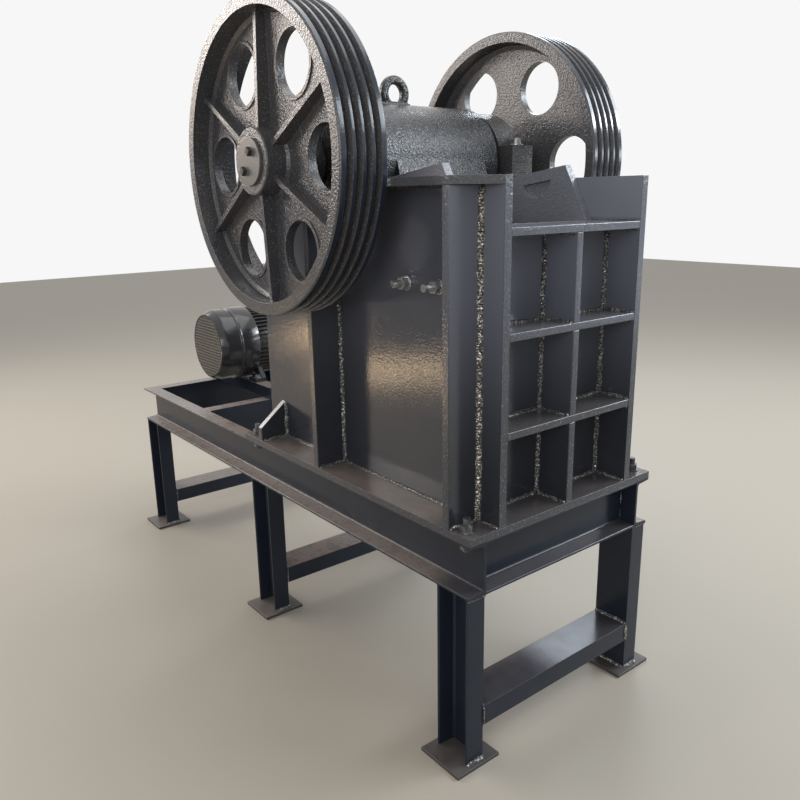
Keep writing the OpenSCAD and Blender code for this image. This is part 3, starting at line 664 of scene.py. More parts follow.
    def material(self) -> bpy.types.Material:
        """Builds the material.

        Dust, with a painted warm sheen where faces look up, covers the enamel by its share.
        The mouth's paler colour, partly painted light, the painted glints and the turned or
        cut faces' own colour, the turned rim's partly a painted cool reflection, come over it,
        and the relief is the same noise all over, but for those faces.

        Returns:
            The finished material.
        """
        g = Graph.of_material(self.name)
        dust_and_sheen = self._dust_and_sheen_share(g)
        colour = g.blend(dust_and_sheen, self._enamel(g), self.dust_and_sheen)
        dull = g.math("MULTIPLY", g.pattern(self.DULL_PATCHES), self.rough_swing)
        rough = g.math("ADD", g.math("ADD", dull, self.rough),
                       g.math("MULTIPLY", dust_and_sheen, self.dust_rough))
        if self.mouth:
            # Painted light: the mouth's inner faces paler, partly their own duller paint.
            inside = self._mouth_share(g)
            colour = g.blend(g.math("MULTIPLY", inside, self.MOUTH_COVER), colour,
                             self.MOUTH_PALE_AND_LIT_COLOUR)
            rough = g.math("ADD", rough, g.math("MULTIPLY", inside, self.MOUTH_ROUGH))
        # Painted highlights: pale spots where the relief's peaks would catch the light.
        if self.painted_glint:
            colour = g.blend(g.math("MULTIPLY", g.peaks(self.glint_scale), self.painted_glint), colour,
                             self.GLINT_COLOUR)
        share = None
        if self.smooth_beyond:
            cast = self._cast_share(g)
            # Painted reflection: the turned rim darkened and tinted blue.
            colour = g.blend(cast, self.TURNED_TONE_AND_REFLECTION_COLOUR, colour)
            share = g.math("MAXIMUM", cast, self.TURNED_GRAIN)
        normal = g.relief(self.grains, share)
        if self.cut is not Cut.NONE:
            edge = self._cut_share(g)
            # Painted highlights: pale spots on the cut edges' relief peaks.
            cut_glints = g.math("MULTIPLY", g.peaks(self.glint_scale), edge)
            colour = g.blend(g.math("MULTIPLY", edge, self.CUT_COVER), colour, self.CUT_COLOUR)
            colour = g.blend(g.math("MULTIPLY", cut_glints, self.CUT_GLINT), colour,
                             self.CUT_GLINT_COLOUR)
            normal = g.relief((self.CUT_GRAIN,), edge, normal)
        return g.finish(colour, rough, 0.0, normal, IOR=self.ior)


@dataclass(frozen=True)
class Thread:
    """A screw thread: its axis, pitch, and how far out on that axis it begins, in metres."""

    axis: Axis
    pitch: float
    start: float

    RUN_IN: ClassVar[float] = 0.0005
    DEPTH: ClassVar[float] = 0.5
    WAVE_PER_METRE: ClassVar[float] = 0.31416

    def relief(self, g: Graph, below: Socket) -> Socket:
        """The thread's bump, a wave of one pitch, over an earlier one.

        Args:
            g: the material's graph.
            below: the earlier one's normal.

        Returns:
            The bumped normal.
        """
        wave = g.add("TexWave", {"bands_direction": self.axis.name}, Vector=g.coords,
                     Scale=self.WAVE_PER_METRE / self.pitch, Distortion=0.0)
        beyond = g.span(g.part(g.coords, self.axis, True), self.start,
                        self.start + self.RUN_IN)
        return g.bump(wave.outputs["Fac"], self.pitch * self.DEPTH, beyond, below)


@dataclass(frozen=True)
class BareMetal:
    """Unpainted or thinly painted steel, such as weld metal, turned faces and fasteners.

    Attributes:
        name: the material's name.
        bright: colour of clean metal; on the weld beads also painted glints of light.
        dull: colour of scale, rust or thin paint.
        cover: where the dull part begins, from 0, none, to 1, all dull.
        patch: patches per metre.
        rough: roughness of clean metal.
        metallic: metallic share of clean metal.
        grains: layers of relief, coarse first.
        dark_beyond: distance from the middle plane, in metres, past which it is all dark.
        thread: its screw thread, or None.
    """

    name: str
    bright: Colour
    dull: Colour
    cover: float = 0.45
    patch: float = 60.0
    rough: float = 0.30
    metallic: float = 0.85
    grains: tuple[Grain, ...] = (Grain(260.0, 0.0002, 0.4),)
    dark_beyond: float = 0.0
    thread: Thread | None = None

    PATCH_EDGE: ClassVar[float] = 0.12
    DARK_EDGE: ClassVar[float] = 0.0006
    FINER: ClassVar[float] = 7.0
    FINE_LEVELS: ClassVar[Span] = (0.75, 1.15)
    DULL_ROUGH: ClassVar[float] = 0.30

    def material(self) -> bpy.types.Material:
        """Builds the material.

        Colour, metallic share and roughness all follow one patch noise, so that the dull
        patches are also the rougher, less metallic ones.

        Returns:
            The finished material.
        """
        g = Graph.of_material(self.name)
        clean = g.pattern(Pattern(self.patch, 5.0, 0.62, self.cover - self.PATCH_EDGE,
                                  self.cover + self.PATCH_EDGE))
        if self.dark_beyond:
            plain = g.span(g.part(g.coords, Axis.Y, True), self.dark_beyond + self.DARK_EDGE,
                           self.dark_beyond)
            clean = g.math("MULTIPLY", clean, plain)
        colour = g.blend(clean, self.dull, self.bright)
        fine = g.span(g.noise(self.patch * self.FINER, 2.0), 0.3, 0.7, *self.FINE_LEVELS)
        shaded = g.add("VectorMath", {"operation": "SCALE"}, Vector=colour, Scale=fine)
        colour = g.blend(0.5, colour, shaded.outputs[0])
        rough = g.math("ADD", g.math("MULTIPLY", clean, -self.DULL_ROUGH),
                       self.rough + self.DULL_ROUGH)
        metal = g.math("MULTIPLY", clean, self.metallic)
        normal = g.relief(self.grains)
        if self.thread:
            normal = self.thread.relief(g, normal)
        return g.finish(colour, rough, metal, normal)


class Palette:
    """All the finishes of the crusher, each built once when first asked for."""

    FINISHES: tuple[Finish | BareMetal, ...] = (
        # plate_enamel's high colour is partly overspray, partly painted light from above.
        Finish("plate_enamel", paint=(0.021, 0.025, 0.034), thin=(0.027, 0.030, 0.038),
               dust_and_sheen_top=0.72, dust_front=0.35, high=(0.135, 0.144, 0.178), cut=Cut.OUTER,
               mouth=True),
        # flange_enamel: the same black enamel painted paler than the plates, as painted light on
        # the top flanges.
        Finish("flange_enamel", paint=(0.100, 0.105, 0.117), thin=(0.115, 0.119, 0.130),
               dust_front=0.4, cut=Cut.ALL_SIDES),
        # skid_enamel: the same black enamel painted darker and bluer than the plates: painted shade
        # under the machine and a painted dark reflection.
        Finish("skid_enamel", paint=(0.007, 0.012, 0.022), thin=(0.010, 0.016, 0.027),
               dust_and_sheen_top=0.80, dust_front=0.20, rough=0.15, ior=1.33),
        Finish("foot_enamel", paint=(0.016, 0.017, 0.020), thin=(0.021, 0.022, 0.025),
               dust_and_sheen_top=0.42, dust_side=0.10, dust_front=0.3, rough=0.34, rough_swing=0.22),
        # The fleck numbers below are painted glints on the cast, jaw and cheek relief.
        Finish("cast_enamel", paint=(0.030, 0.031, 0.034), thin=(0.038, 0.038, 0.040),
               dust_and_sheen_top=0.15, dust_side=0.04, rough=0.10, rough_swing=0.05, painted_glint=0.35,
               glint_scale=240.0,
               grains=(Grain(60.0, 0.0008, 0.4, 2.0), Grain(230.0, 0.0018, 1.0, 3.0))),
        Finish("wheel_enamel", paint=(0.042, 0.045, 0.053), thin=(0.056, 0.054, 0.056),
               dust_and_sheen_top=0.12, dust_side=0.05, rough=0.13, rough_swing=0.05, painted_glint=0.24,
               smooth_beyond=0.390,
               grains=(Grain(50.0, 0.0008, 0.3, 2.0), Grain(170.0, 0.0018, 1.0, 3.0))),
        Finish("jaw_enamel", paint=(0.015, 0.017, 0.020), thin=(0.020, 0.022, 0.025),
               dust_and_sheen_top=0.03, dust_side=0.02, rough=0.06, rough_swing=0.02, painted_glint=0.18,
               glint_scale=190.0,
               grains=(Grain(45.0, 0.0006, 0.3, 2.0), Grain(165.0, 0.0030, 1.0, 3.0))),
        Finish("cheek_enamel", paint=(0.170, 0.179, 0.205), thin=(0.195, 0.203, 0.228),
               dust_and_sheen_top=0.12, dust_side=0.03, rough=0.14, rough_swing=0.06, painted_glint=0.50,
               grains=(Grain(45.0, 0.0010, 0.4, 2.0), Grain(170.0, 0.0024, 1.0, 3.0))),
        Finish("motor_enamel", paint=(0.014, 0.015, 0.017), thin=(0.018, 0.019, 0.021),
               dust_and_sheen_top=0.12, dust_side=0.03, rough=0.13, rough_swing=0.05,
               grains=(Grain(300.0, 0.0001, 0.2),)),
        Finish("grille_enamel", paint=(0.125, 0.120, 0.112), thin=(0.150, 0.144, 0.134),
               dust_and_sheen_top=0.3, dust_side=0.1, rough=0.30,
               grains=(Grain(300.0, 0.0002, 0.4),)),
        # Weld beads: bright patches partly bare weld metal, partly painted glints; the heavy beads'
        # gold partly a painted warm reflection.
        BareMetal("weld_metal", bright=(0.92, 0.89, 0.82), dull=(0.030, 0.031, 0.034),
                  cover=0.61, patch=190.0, rough=0.16, metallic=0.85,
                  grains=(Grain(170.0, 0.0022, 1.0, 3.0),)),
        BareMetal("heavy_weld_metal", bright=(0.93, 0.85, 0.70), dull=(0.032, 0.031, 0.032),
                  cover=0.58, patch=180.0, rough=0.16, metallic=0.85,
                  grains=(Grain(165.0, 0.0024, 1.0, 3.0),)),
        BareMetal("painted_weld", bright=(0.30, 0.29, 0.27), dull=(0.018, 0.018, 0.019),
                  cover=0.62, patch=150.0, rough=0.14, metallic=0.6,
                  grains=(Grain(140.0, 0.0022, 1.0, 3.0),)),
        BareMetal("manganese_steel", bright=(0.40, 0.40, 0.42), dull=(0.085, 0.085, 0.090),
                  cover=0.62, patch=110.0, rough=0.20, metallic=0.2,
                  grains=(Grain(45.0, 0.0010, 0.5, 2.0), Grain(130.0, 0.0018, 1.0, 3.0))),
        BareMetal("turned_steel", bright=(0.27, 0.255, 0.235), dull=(0.235, 0.215, 0.195),
                  cover=0.44, patch=16.0, rough=0.22, metallic=0.35,
                  grains=(Grain(160.0, 0.0002, 0.3),)),
        BareMetal("cap_steel", bright=(0.130, 0.122, 0.112), dull=(0.030, 0.027, 0.026),
                  cover=0.0, patch=16.0, rough=0.30, metallic=0.15, dark_beyond=0.541,
                  grains=(Grain(160.0, 0.0003, 0.4),)),
        BareMetal("fastener_steel", bright=(0.42, 0.42, 0.42), dull=(0.060, 0.060, 0.063),
                  cover=0.50, patch=45.0, rough=0.16, metallic=0.8,
                  grains=(Grain(60.0, 0.0002, 0.3),)),
        BareMetal("thread_across", bright=(0.50, 0.50, 0.51), dull=(0.16, 0.16, 0.165),
                  cover=0.48, patch=30.0, rough=0.12, metallic=0.95,
                  grains=(Grain(60.0, 0.0002, 0.3),), thread=Thread(Axis.Y, 0.0025, 0.295)),
        BareMetal("thread_upright", bright=(0.26, 0.26, 0.26), dull=(0.030, 0.031, 0.034),
                  cover=0.58, patch=40.0, rough=0.15, metallic=0.7,
                  grains=(Grain(60.0, 0.0003, 0.4),), thread=Thread(Axis.Z, 0.0025, 0.690)),
    )

    def __init__(self) -> None:
        """Starts with nothing built."""
        self._built: dict[str, bpy.types.Material] = {}

    def get(self, name: str) -> bpy.types.Material:
        """The material of a finish.

        Args:
            name: the finish's name.

        Returns:
            The material, built at the first call.
        """
        if name not in self._built:
            finish = next(f for f in self.FINISHES if f.name == name)
            self._built[name] = finish.material()
        return self._built[name]


class NodeDresser:
    """Gives CAD nodes their finish and soft edges, by modifiers and slots only."""

    MERGE = 2e-5
    FLAT_DEG = 0.4
    EDGE_DEG = 33.0

    def __init__(self, palette: Palette) -> None:
        """Keeps the palette and makes the shared smoothing group."""
        self.palette = palette
        self.smoothing = self._smoothing_group()

    @staticmethod
    def _smoothing_group() -> bpy.types.GeometryNodeTree:
        """A geometry group that marks all faces and edges smooth.

        Returns:
            The node group.
        """
        tree = bpy.data.node_groups.new("shade_smooth", "GeometryNodeTree")
        for way in ("INPUT", "OUTPUT"):
            tree.interface.new_socket("Geometry", in_out=way, socket_type="NodeSocketGeometry")
        start, end = tree.nodes.new("NodeGroupInput"), tree.nodes.new("NodeGroupOutput")
        faces, edges = (tree.nodes.new("GeometryNodeSetShadeSmooth") for _ in range(2))
        faces.domain, edges.domain = "FACE", "EDGE"
        for first, then in ((start, faces), (faces, edges), (edges, end)):
            tree.links.new(first.outputs[0], then.inputs[0])
        return tree

    def dress(self, finish: str, edge_mm: float, *nodes: str) -> None:
        """Dresses nodes alike.

        Args:
            finish: the finish on all of each node.
            edge_mm: width of the rounded edges, or 0 for none.
            nodes: the CAD nodes.
        """
        for node in nodes:
            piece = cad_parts[node]
            for slot in piece.material_slots:
                slot.material = self.palette.get(finish)
            weld = piece.modifiers.new("merge", "WELD")
            weld.merge_threshold = self.MERGE
            flat = piece.modifiers.new("flats", "DECIMATE")
            flat.decimate_type = "DISSOLVE"
            flat.angle_limit = math.radians(self.FLAT_DEG)
            smooth = piece.modifiers.new("smooth", "NODES")
            smooth.node_group = self.smoothing
            if edge_mm:
                bevel = piece.modifiers.new("edges", "BEVEL")
                bevel.width = edge_mm / 1000.0
                bevel.segments = 2
                bevel.limit_method = "ANGLE"
                bevel.angle_limit = math.radians(self.EDGE_DEG)
                bevel.use_clamp_overlap = True
            normals = piece.modifiers.new("normals", "WEIGHTED_NORMAL")
            normals.keep_sharp = False
            LOG.info("dressed %s with %s", node, finish)


@dataclass(frozen=True)
class Bead:
    """A fillet weld along a straight or bent corner between two plates.

    The constants are lengths in millimetres, or shares of the fillet's size or pitch.

    Attributes:
        start: start of the corner line, in millimetres.
        end: its end.
        side_a: unit direction from the corner along the first plate.
        side_b: unit direction along the second plate.
        leg: size of the fillet.
        pitch: mean length of a ripple.
        rise: how far the line bows along side_b at its middle, for a bead on a round.
    """

    start: Point
    end: Point
    side_a: Point
    side_b: Point
    leg: float = 7.0
    pitch: float = 5.5
    rise: float = 0.0

    STEP: ClassVar[float] = 1.7
    ACROSS: ClassVar[int] = 7
    SINK: ClassVar[float] = 0.4
    CROWN: ClassVar[float] = 1.2
    FEWEST: ClassVar[int] = 4
    WANDER_RINGS: ClassVar[int] = 8
    WANDER: ClassVar[float] = 0.16
    WANDER_PULL: ClassVar[float] = 0.22
    RIPPLE: ClassVar[float] = 0.085
    SKEW: ClassVar[float] = 0.04
    SKEW_PHASE: ClassVar[float] = 0.7
    LUMP_LENGTH: ClassVar[float] = 16.0
    LUMP: ClassVar[float] = 0.10
    LEAN: ClassVar[float] = 0.09
    END_LENGTH: ClassVar[float] = 0.8
    END_SIZE: ClassVar[float] = 0.33

    @property
    def length(self) -> float:
        """Length of the corner line."""
        return float(np.linalg.norm(np.subtract(self.end, self.start)))

    def _drift(self, s: np.ndarray, knots: int, spread: float,
               rng: np.random.Generator) -> np.ndarray:
        """Slow noise along the line: straight runs between equally spaced random knots.

        Args:
            s: places along the line.
            knots: how many knots there are, if not fewer than the fewest.
            spread: standard deviation at a knot.
            rng: the seeded source.

        Returns:
            The noise at each place.
        """
        knots = max(self.FEWEST, knots)
        return np.interp(s, np.linspace(0, self.length, knots), rng.normal(0.0, spread, knots))

    def surface(self, rng: np.random.Generator) -> tuple[np.ndarray, list[np.ndarray]]:
        """The bead's closed surface.

        Along the line at the place s, the fillet's size is leg times (1 + ripple + lump),
        where the ripple is a skewed wave whose pitch wanders and the lump is slow noise,
        and it falls to a third of itself as a quarter circle at both ends. Across it, at
        the angle t, the point is the corner + size (a cos^1.2 t + b sin^1.2 t), where slow
        noise makes the fillet lean to one plate. The corner itself lies a little inside.

        Args:
            rng: the seeded source of its irregularities.

        Returns:
            The points and arrays of faces.
        """
        start, end = np.array(self.start, float), np.array(self.end, float)
        n = max(8, int(self.length / self.STEP))
        s = np.linspace(0.0, self.length, n)
        wander = self._drift(s, n // self.WANDER_RINGS, self.WANDER, rng)
        phase = 2 * math.pi * (s / self.pitch + np.cumsum(wander) * self.WANDER_PULL)
        ripple = self.RIPPLE * np.sin(phase) + self.SKEW * np.sin(2 * phase + self.SKEW_PHASE)
        knots = int(self.length / self.LUMP_LENGTH)
        lump = self._drift(s, knots, self.LUMP, rng)
        lean = self._drift(s, knots, self.LEAN, rng)
        from_end = np.minimum(s, self.length - s) / (self.END_LENGTH * self.leg)
        round_end = np.sqrt(1 - (1 - np.clip(from_end, 0, 1)) ** 2)
        size = self.leg * (1 + ripple + lump) * (
            self.END_SIZE + (1 - self.END_SIZE) * round_end)
        t = np.linspace(0.0, math.pi / 2, self.ACROSS)
        a, b = (np.append(wave ** self.CROWN, 0.0)[None] for wave in (np.cos(t), np.sin(t)))
        a = size[:, None] * a * (1 + lean[:, None]) - self.SINK * (a < 1e-6)
        b = size[:, None] * b * (1 - lean[:, None]) - self.SINK * (b < 1e-6)
        side_a, side_b = np.array(self.side_a, float), np.array(self.side_b, float)
        bow = self.rise * (1 - (2 * s / self.length - 1) ** 2)
        line = start + (end - start) * (s / self.length)[:, None] + bow[:, None] * side_b
        rings = line[:, None] + a[..., None] * side_a + b[..., None] * side_b
        if np.dot(np.cross(side_a, side_b), end - start) < 0:
            rings = rings[:, ::-1]
        return tube(rings)

    def across(self) -> "Bead":
        """The same bead on the other side of the machine, where y has the other sign."""
        turn = [tuple(np.array(v, float) * (1, -1, 1)) for v in
                (self.start, self.end, self.side_a, self.side_b)]
        return Bead(*turn, leg=self.leg, pitch=self.pitch, rise=self.rise)


@dataclass
class WeldSet:
    """The beads of one sub-assembly, made as one mesh.

    Attributes:
        name: the piece's name.
        body: the CAD body that it rides on.
        beads: the beads on the near side or the middle.
        seed: the seed of their irregularities.
        finish: the finish of the beads.
    """

    name: str
    body: str
    beads: list[Bead]
    seed: int
    finish: str = "weld_metal"

    SMOOTH_DEG: ClassVar[float] = 60.0

    def build(self, palette: Palette, both_sides: bool = False) -> bpy.types.Object:
        """Makes the piece.

        Args:
            palette: the finishes.
            both_sides: whether each bead is repeated on the far side.

        Returns:
            The piece.
        """
        rng = np.random.default_rng(self.seed)
        shell = Shell()
        for bead in self.beads + ([b.across() for b in self.beads] if both_sides else []):
            shell.add(*bead.surface(rng))
        return shell.piece(self.name, self.body, Slot.MACHINED, palette.get(self.finish),
                           self.SMOOTH_DEG)


@dataclass
class CrusherBody:
    """The welded box: base plate, side plates, ribs, ribbed front wall and top flanges.

    Attributes:
        inner_y: the side plates' inner faces.
        outer_y: their outer faces.
        edge_y: the edges of base plate and ribs.
        length: length of the base plate.
        flange_z: underside of the top flanges.
        front_depth: how deep the front wall's cells are.
        rib_1: front face of the front rib, behind the base plate's front edge.
        rib_2: front face of the middle rib.
        gusset_x: front face of the rear gusset.
        plate: thickness of ribs and side plates.
        shelf: thickness of the front shelves.
        shelves: tops of the front shelves and of the top plate.
        notch_z: foot of the bearing's notch, where the middle rib's beads end.
        gusset_top: top of the rear gusset.
        rear_top: top of the rear wall.
        flange_runs: starts and ends of the beads under the top flange.
        short: how far a bead stops short of an edge, on the ribs' feet, under the flange,
            at the cell's back and front, and at the base plate's ends.
    """

    inner_y: float = 245.0
    outer_y: float = 269.0
    edge_y: float = 370.0
    length: float = 1135.0
    flange_z: float = 831.0
    front_depth: float = 106.0
    rib_1: float = 76.0
    rib_2: float = 676.0
    gusset_x: float = 1034.0
    plate: float = 24.0
    shelf: float = 20.0
    shelves: tuple[float, ...] = (245.0, 490.0, 735.0)
    notch_z: float = 743.5
    gusset_top: float = 122.0
    rear_top: float = 418.0
    flange_runs: tuple[Span, ...] = ((-100.0, -516.0), (-848.0, -900.0))
    short: tuple[float, ...] = (4.0, 6.0, 4.0, 3.0, 2.0)

    def dress(self, dresser: NodeDresser) -> None:
        """Enamels the plates."""
        dresser.dress("plate_enamel", 2.2, "base_plate", "side_plate_right", "side_plate_left",
                      "front_wall", "front_shelves", "front_center_ribs", "rear_wall",
                      "stiffeners_right", "stiffeners_left")
        # The flanges' paler enamel is painted light.
        dresser.dress("flange_enamel", 2.2, "top_flange_right", "top_flange_left")

    def side_beads(self) -> list[Bead]:
        """The beads on the outside of the near side plate.

        Returns:
            Upright beads at both faces of the two rear ribs, the ribs' own feet, and seams
            along the base plate.
        """
        y, tip, end = -self.outer_y, self.short[0] - self.edge_y, self.short[4]
        beads = []
        for x, top in ((self.rib_2, self.notch_z), (self.gusset_x, self.gusset_top)):
            beads += [
                Bead((-x, y, 0), (-x, y, top), FORWARD, OUT, leg=8.0, pitch=6.5),
                Bead((-x - self.plate, y, 0), (-x - self.plate, y, top), BACK, OUT),
            ]
        stops = [-end]
        for x in (self.rib_1, self.rib_2, self.gusset_x):
            beads += [
                Bead((-x, y, 0), (-x, tip, 0), FORWARD, UP),
                Bead((-x - self.plate, y, 0), (-x - self.plate, tip, 0), BACK, UP),
            ]
            stops += [-x, -x - self.plate]
        stops.append(end - self.length)
        return beads + [Bead((a, y, 0), (b, y, 0), OUT, UP, leg=5.5)
                        for a, b in zip(stops[::2], stops[1::2])]

    def rib_beads(self) -> list[Bead]:
        """The beads of the front rib, on the near side.

        Returns:
            The heavy bead on its front face and the plain one behind it.
        """
        y, x, z = -self.outer_y, -self.rib_1, self.flange_z
        return [
            Bead((x, y, 0), (x, y, z), FORWARD, OUT, leg=10.5, pitch=6.5),
            Bead((x - self.plate, y, 0), (x - self.plate, y, z), BACK, OUT),
        ]

    def top_beads(self) -> list[Bead]:
        """The painted beads under the near top flange and on the front's top plate.

        Returns:
            The flange's seams, the rib's seam below it, and the top plate's side seam.
        """
        y, x, z = -self.outer_y, -self.rib_1 - self.plate, self.flange_z
        _, rib_end, back, front, _ = self.short
        beads = [Bead((a, y, z), (b, y, z), OUT, DOWN, leg=6.0) for a, b in self.flange_runs]
        beads.append(Bead((x, y, z), (x, rib_end - self.edge_y, z), BACK, DOWN, leg=5.5))
        beads.append(Bead((back - self.front_depth, -self.inner_y, self.shelves[-1]),
                          (-front, -self.inner_y, self.shelves[-1]), INWARD, UP, leg=4.0))
        return beads

    def cell_beads(self) -> list[Bead]:
        """The beads in the near half of the front wall's cells.

        Returns:
            For each cell, the uprights and the level seams on wall, rib and side plate.
        """
        x, y, rib = -self.front_depth, -self.inner_y, -self.plate / 2
        deep, edge = x + self.short[2], -self.short[3]
        beads = []
        for low, top in zip((0.0, *self.shelves[:-1]), self.shelves):
            high = top - self.shelf
            beads += [
                Bead((x, rib, low), (x, rib, high), FORWARD, OUT, leg=9.0, pitch=6.0),
                Bead((x, y, low), (x, y, high), FORWARD, INWARD, leg=9.0, pitch=6.0),
                Bead((x, y, high), (x, rib, high), FORWARD, DOWN),
            ]
            for side, way in ((rib, OUT), (y, INWARD)):
                for z, face in ((low, UP), (high, DOWN)):
                    beads.append(Bead((deep, side, z), (edge, side, z), way, face, leg=6.5))
            beads.append(Bead((x, y, low), (x, rib, low), FORWARD, UP))
        return beads

    def rear_beads(self) -> list[Bead]:
        """The beads that hold the rear wall, on the near half.

        Returns:
            Its upright seam and its foot.
        """
        x, y = -self.gusset_x - self.plate, -self.inner_y
        return [
            Bead((x, y, 0), (x, y, self.rear_top), BACK, INWARD, leg=8.0),
            Bead((x, y, 0), (x, 0, 0), BACK, UP, leg=8.0),
        ]

    def build(self, palette: Palette) -> None:
        """Makes the body's weld beads.

        Args:
            palette: the finishes.
        """
        for name, beads, seed, finish in (
            ("body_side_welds", self.side_beads(), 11, "weld_metal"),
            ("front_rib_welds", self.rib_beads(), 14, "heavy_weld_metal"),
            ("top_welds", self.top_beads(), 15, "painted_weld"),
            ("front_cell_welds", self.cell_beads(), 12, "weld_metal"),
            ("rear_wall_welds", self.rear_beads(), 13, "weld_metal"),
        ):
            WeldSet(name, "frame", beads, seed, finish).build(palette, both_sides=True)


@dataclass
class Chamber:
    """The jaw plates, cheek plates and their bolts, the toggle and its tension rod.

    Attributes:
        spring_r: radius of the spring at the middle of its wire.
        wire_r: radius of the wire.
        spring_x: the spring's two ends.
        spring_z: height of its axis.
        turns: number of turns.
        dead_turns: turns at each end that lie close.
        dead_step: how far these climb, in wire widths.
        per_turn: rings of points in a turn.
        around: points round the wire.
    """

    spring_r: float = 28.0
    wire_r: float = 5.8
    spring_x: Span = (-1172.0, -1058.0)
    spring_z: float = 68.0
    turns: float = 8.5
    dead_turns: float = 0.75
    dead_step: float = 0.9
    per_turn: int = 44
    around: int = 14

    def dress(self, dresser: NodeDresser) -> None:
        """Gives the wear parts bare steel, the linkage enamel and the bolts their threads."""
        dresser.dress("manganese_steel", 2.0, "fixed_jaw_plate", "moving_jaw_plate")
        dresser.dress("cheek_enamel", 2.0, "cheek_plate_right", "cheek_plate_left")
        dresser.dress("cast_enamel", 2.0, "toggle_block", "toggle_plate")
        dresser.dress("thread_across", 0.9, "cheek_bolts")
        dresser.dress("fastener_steel", 0.8, "tension_rod")

    def build(self, palette: Palette) -> None:
        """Makes the coil spring.

        The wire's middle at the share u of the length is at radius R and angle 2 pi n u.
        It moves along the rod by the climb, which is level over the dead turns and straight
        between them, plus a small step over each end's dead turns.

        Args:
            palette: the finishes.
        """
        u = np.linspace(0.0, 1.0, int(self.turns * self.per_turn))
        angle = 2 * math.pi * self.turns * u
        dead = self.dead_turns / self.turns
        climb = np.clip((u - dead) / (1 - 2 * dead), 0, 1)
        first, last = np.clip(u / dead, 0, 1), np.clip((u - 1 + dead) / dead, 0, 1)
        low, high = self.spring_x[0] + self.wire_r, self.spring_x[1] - self.wire_r
        step = self.dead_step * 2 * self.wire_r
        x = low + step * (first + last) + (high - low - 2 * step) * climb
        out = np.stack([0 * u, np.cos(angle), np.sin(angle)], -1)
        middle = np.stack([x, 0 * u, self.spring_z + 0 * u], -1) + self.spring_r * out
        t = np.linspace(0, 2 * math.pi, self.around, endpoint=False)
        along = np.array([1.0, 0.0, 0.0])
        rings = middle[:, None] + self.wire_r * (
            np.cos(t)[None, :, None] * out[:, None] - np.sin(t)[None, :, None] * along)
        shell = Shell()
        shell.add(*tube(rings))
        piece = shell.piece("coil_spring", "frame", Slot.FASTENER,
                            palette.get("fastener_steel"))
        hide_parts("tension_spring")


@dataclass
class RotatingGroup:
    """The flywheels, shaft, hub caps, bearings, and the moving jaw that hangs on the shaft.

    Attributes:
        barrel_r: radius of the moving jaw's barrel.
        eye_y: middle of the lifting eye.
        eye_seat: height of the pad that it stands on.
        eye_half: half its width.
        eye_half_t: half its thickness.
        eye_bead: size of the bead round its root.
    """

    barrel_r: float = 170.0
    eye_y: float = -43.0
    eye_seat: float = 2.0
    eye_half: float = 42.6
    eye_half_t: float = 12.5
    eye_bead: float = 5.0

    def dress(self, dresser: NodeDresser) -> None:
        """Gives the castings their rough enamel and the turned parts their metal."""
        dresser.dress("wheel_enamel", 2.0, "flywheel_right", "flywheel_left")
        dresser.dress("cast_enamel", 3.0, "bearing_housing_right", "bearing_housing_left",
                      "bearing_cap_right", "bearing_cap_left")
        dresser.dress("jaw_enamel", 3.0, "moving_jaw")
        dresser.dress("jaw_enamel", 0.0, "lifting_eye")
        dresser.dress("cap_steel", 1.2, "hub_caps")
        dresser.dress("turned_steel", 1.2, "eccentric_shaft")
        dresser.dress("fastener_steel", 0.9, "bearing_bolts")

    def build(self, palette: Palette) -> None:
        """Makes the beads at the root of the lifting eye, in front, behind and beside it.

        Args:
            palette: the finishes.
        """
        x, y = Place.SHAFT_MM[0], self.eye_y
        z = Place.SHAFT_MM[2] + self.barrel_r + self.eye_seat
        half, deep = self.eye_half, self.eye_half_t
        beads = []
        for s in (-1, 1):
            beads += [
                Bead((x + s * deep, y - half, z), (x + s * deep, y + half, z), (s, 0, 0), UP,
                     leg=self.eye_bead),
                Bead((x - deep, y + s * half, z), (x + deep, y + s * half, z), (0, s, 0), UP,
                     leg=self.eye_bead),
            ]
        WeldSet("lifting_eye_welds", "moving_jaw", beads, 21, "painted_weld").build(palette)


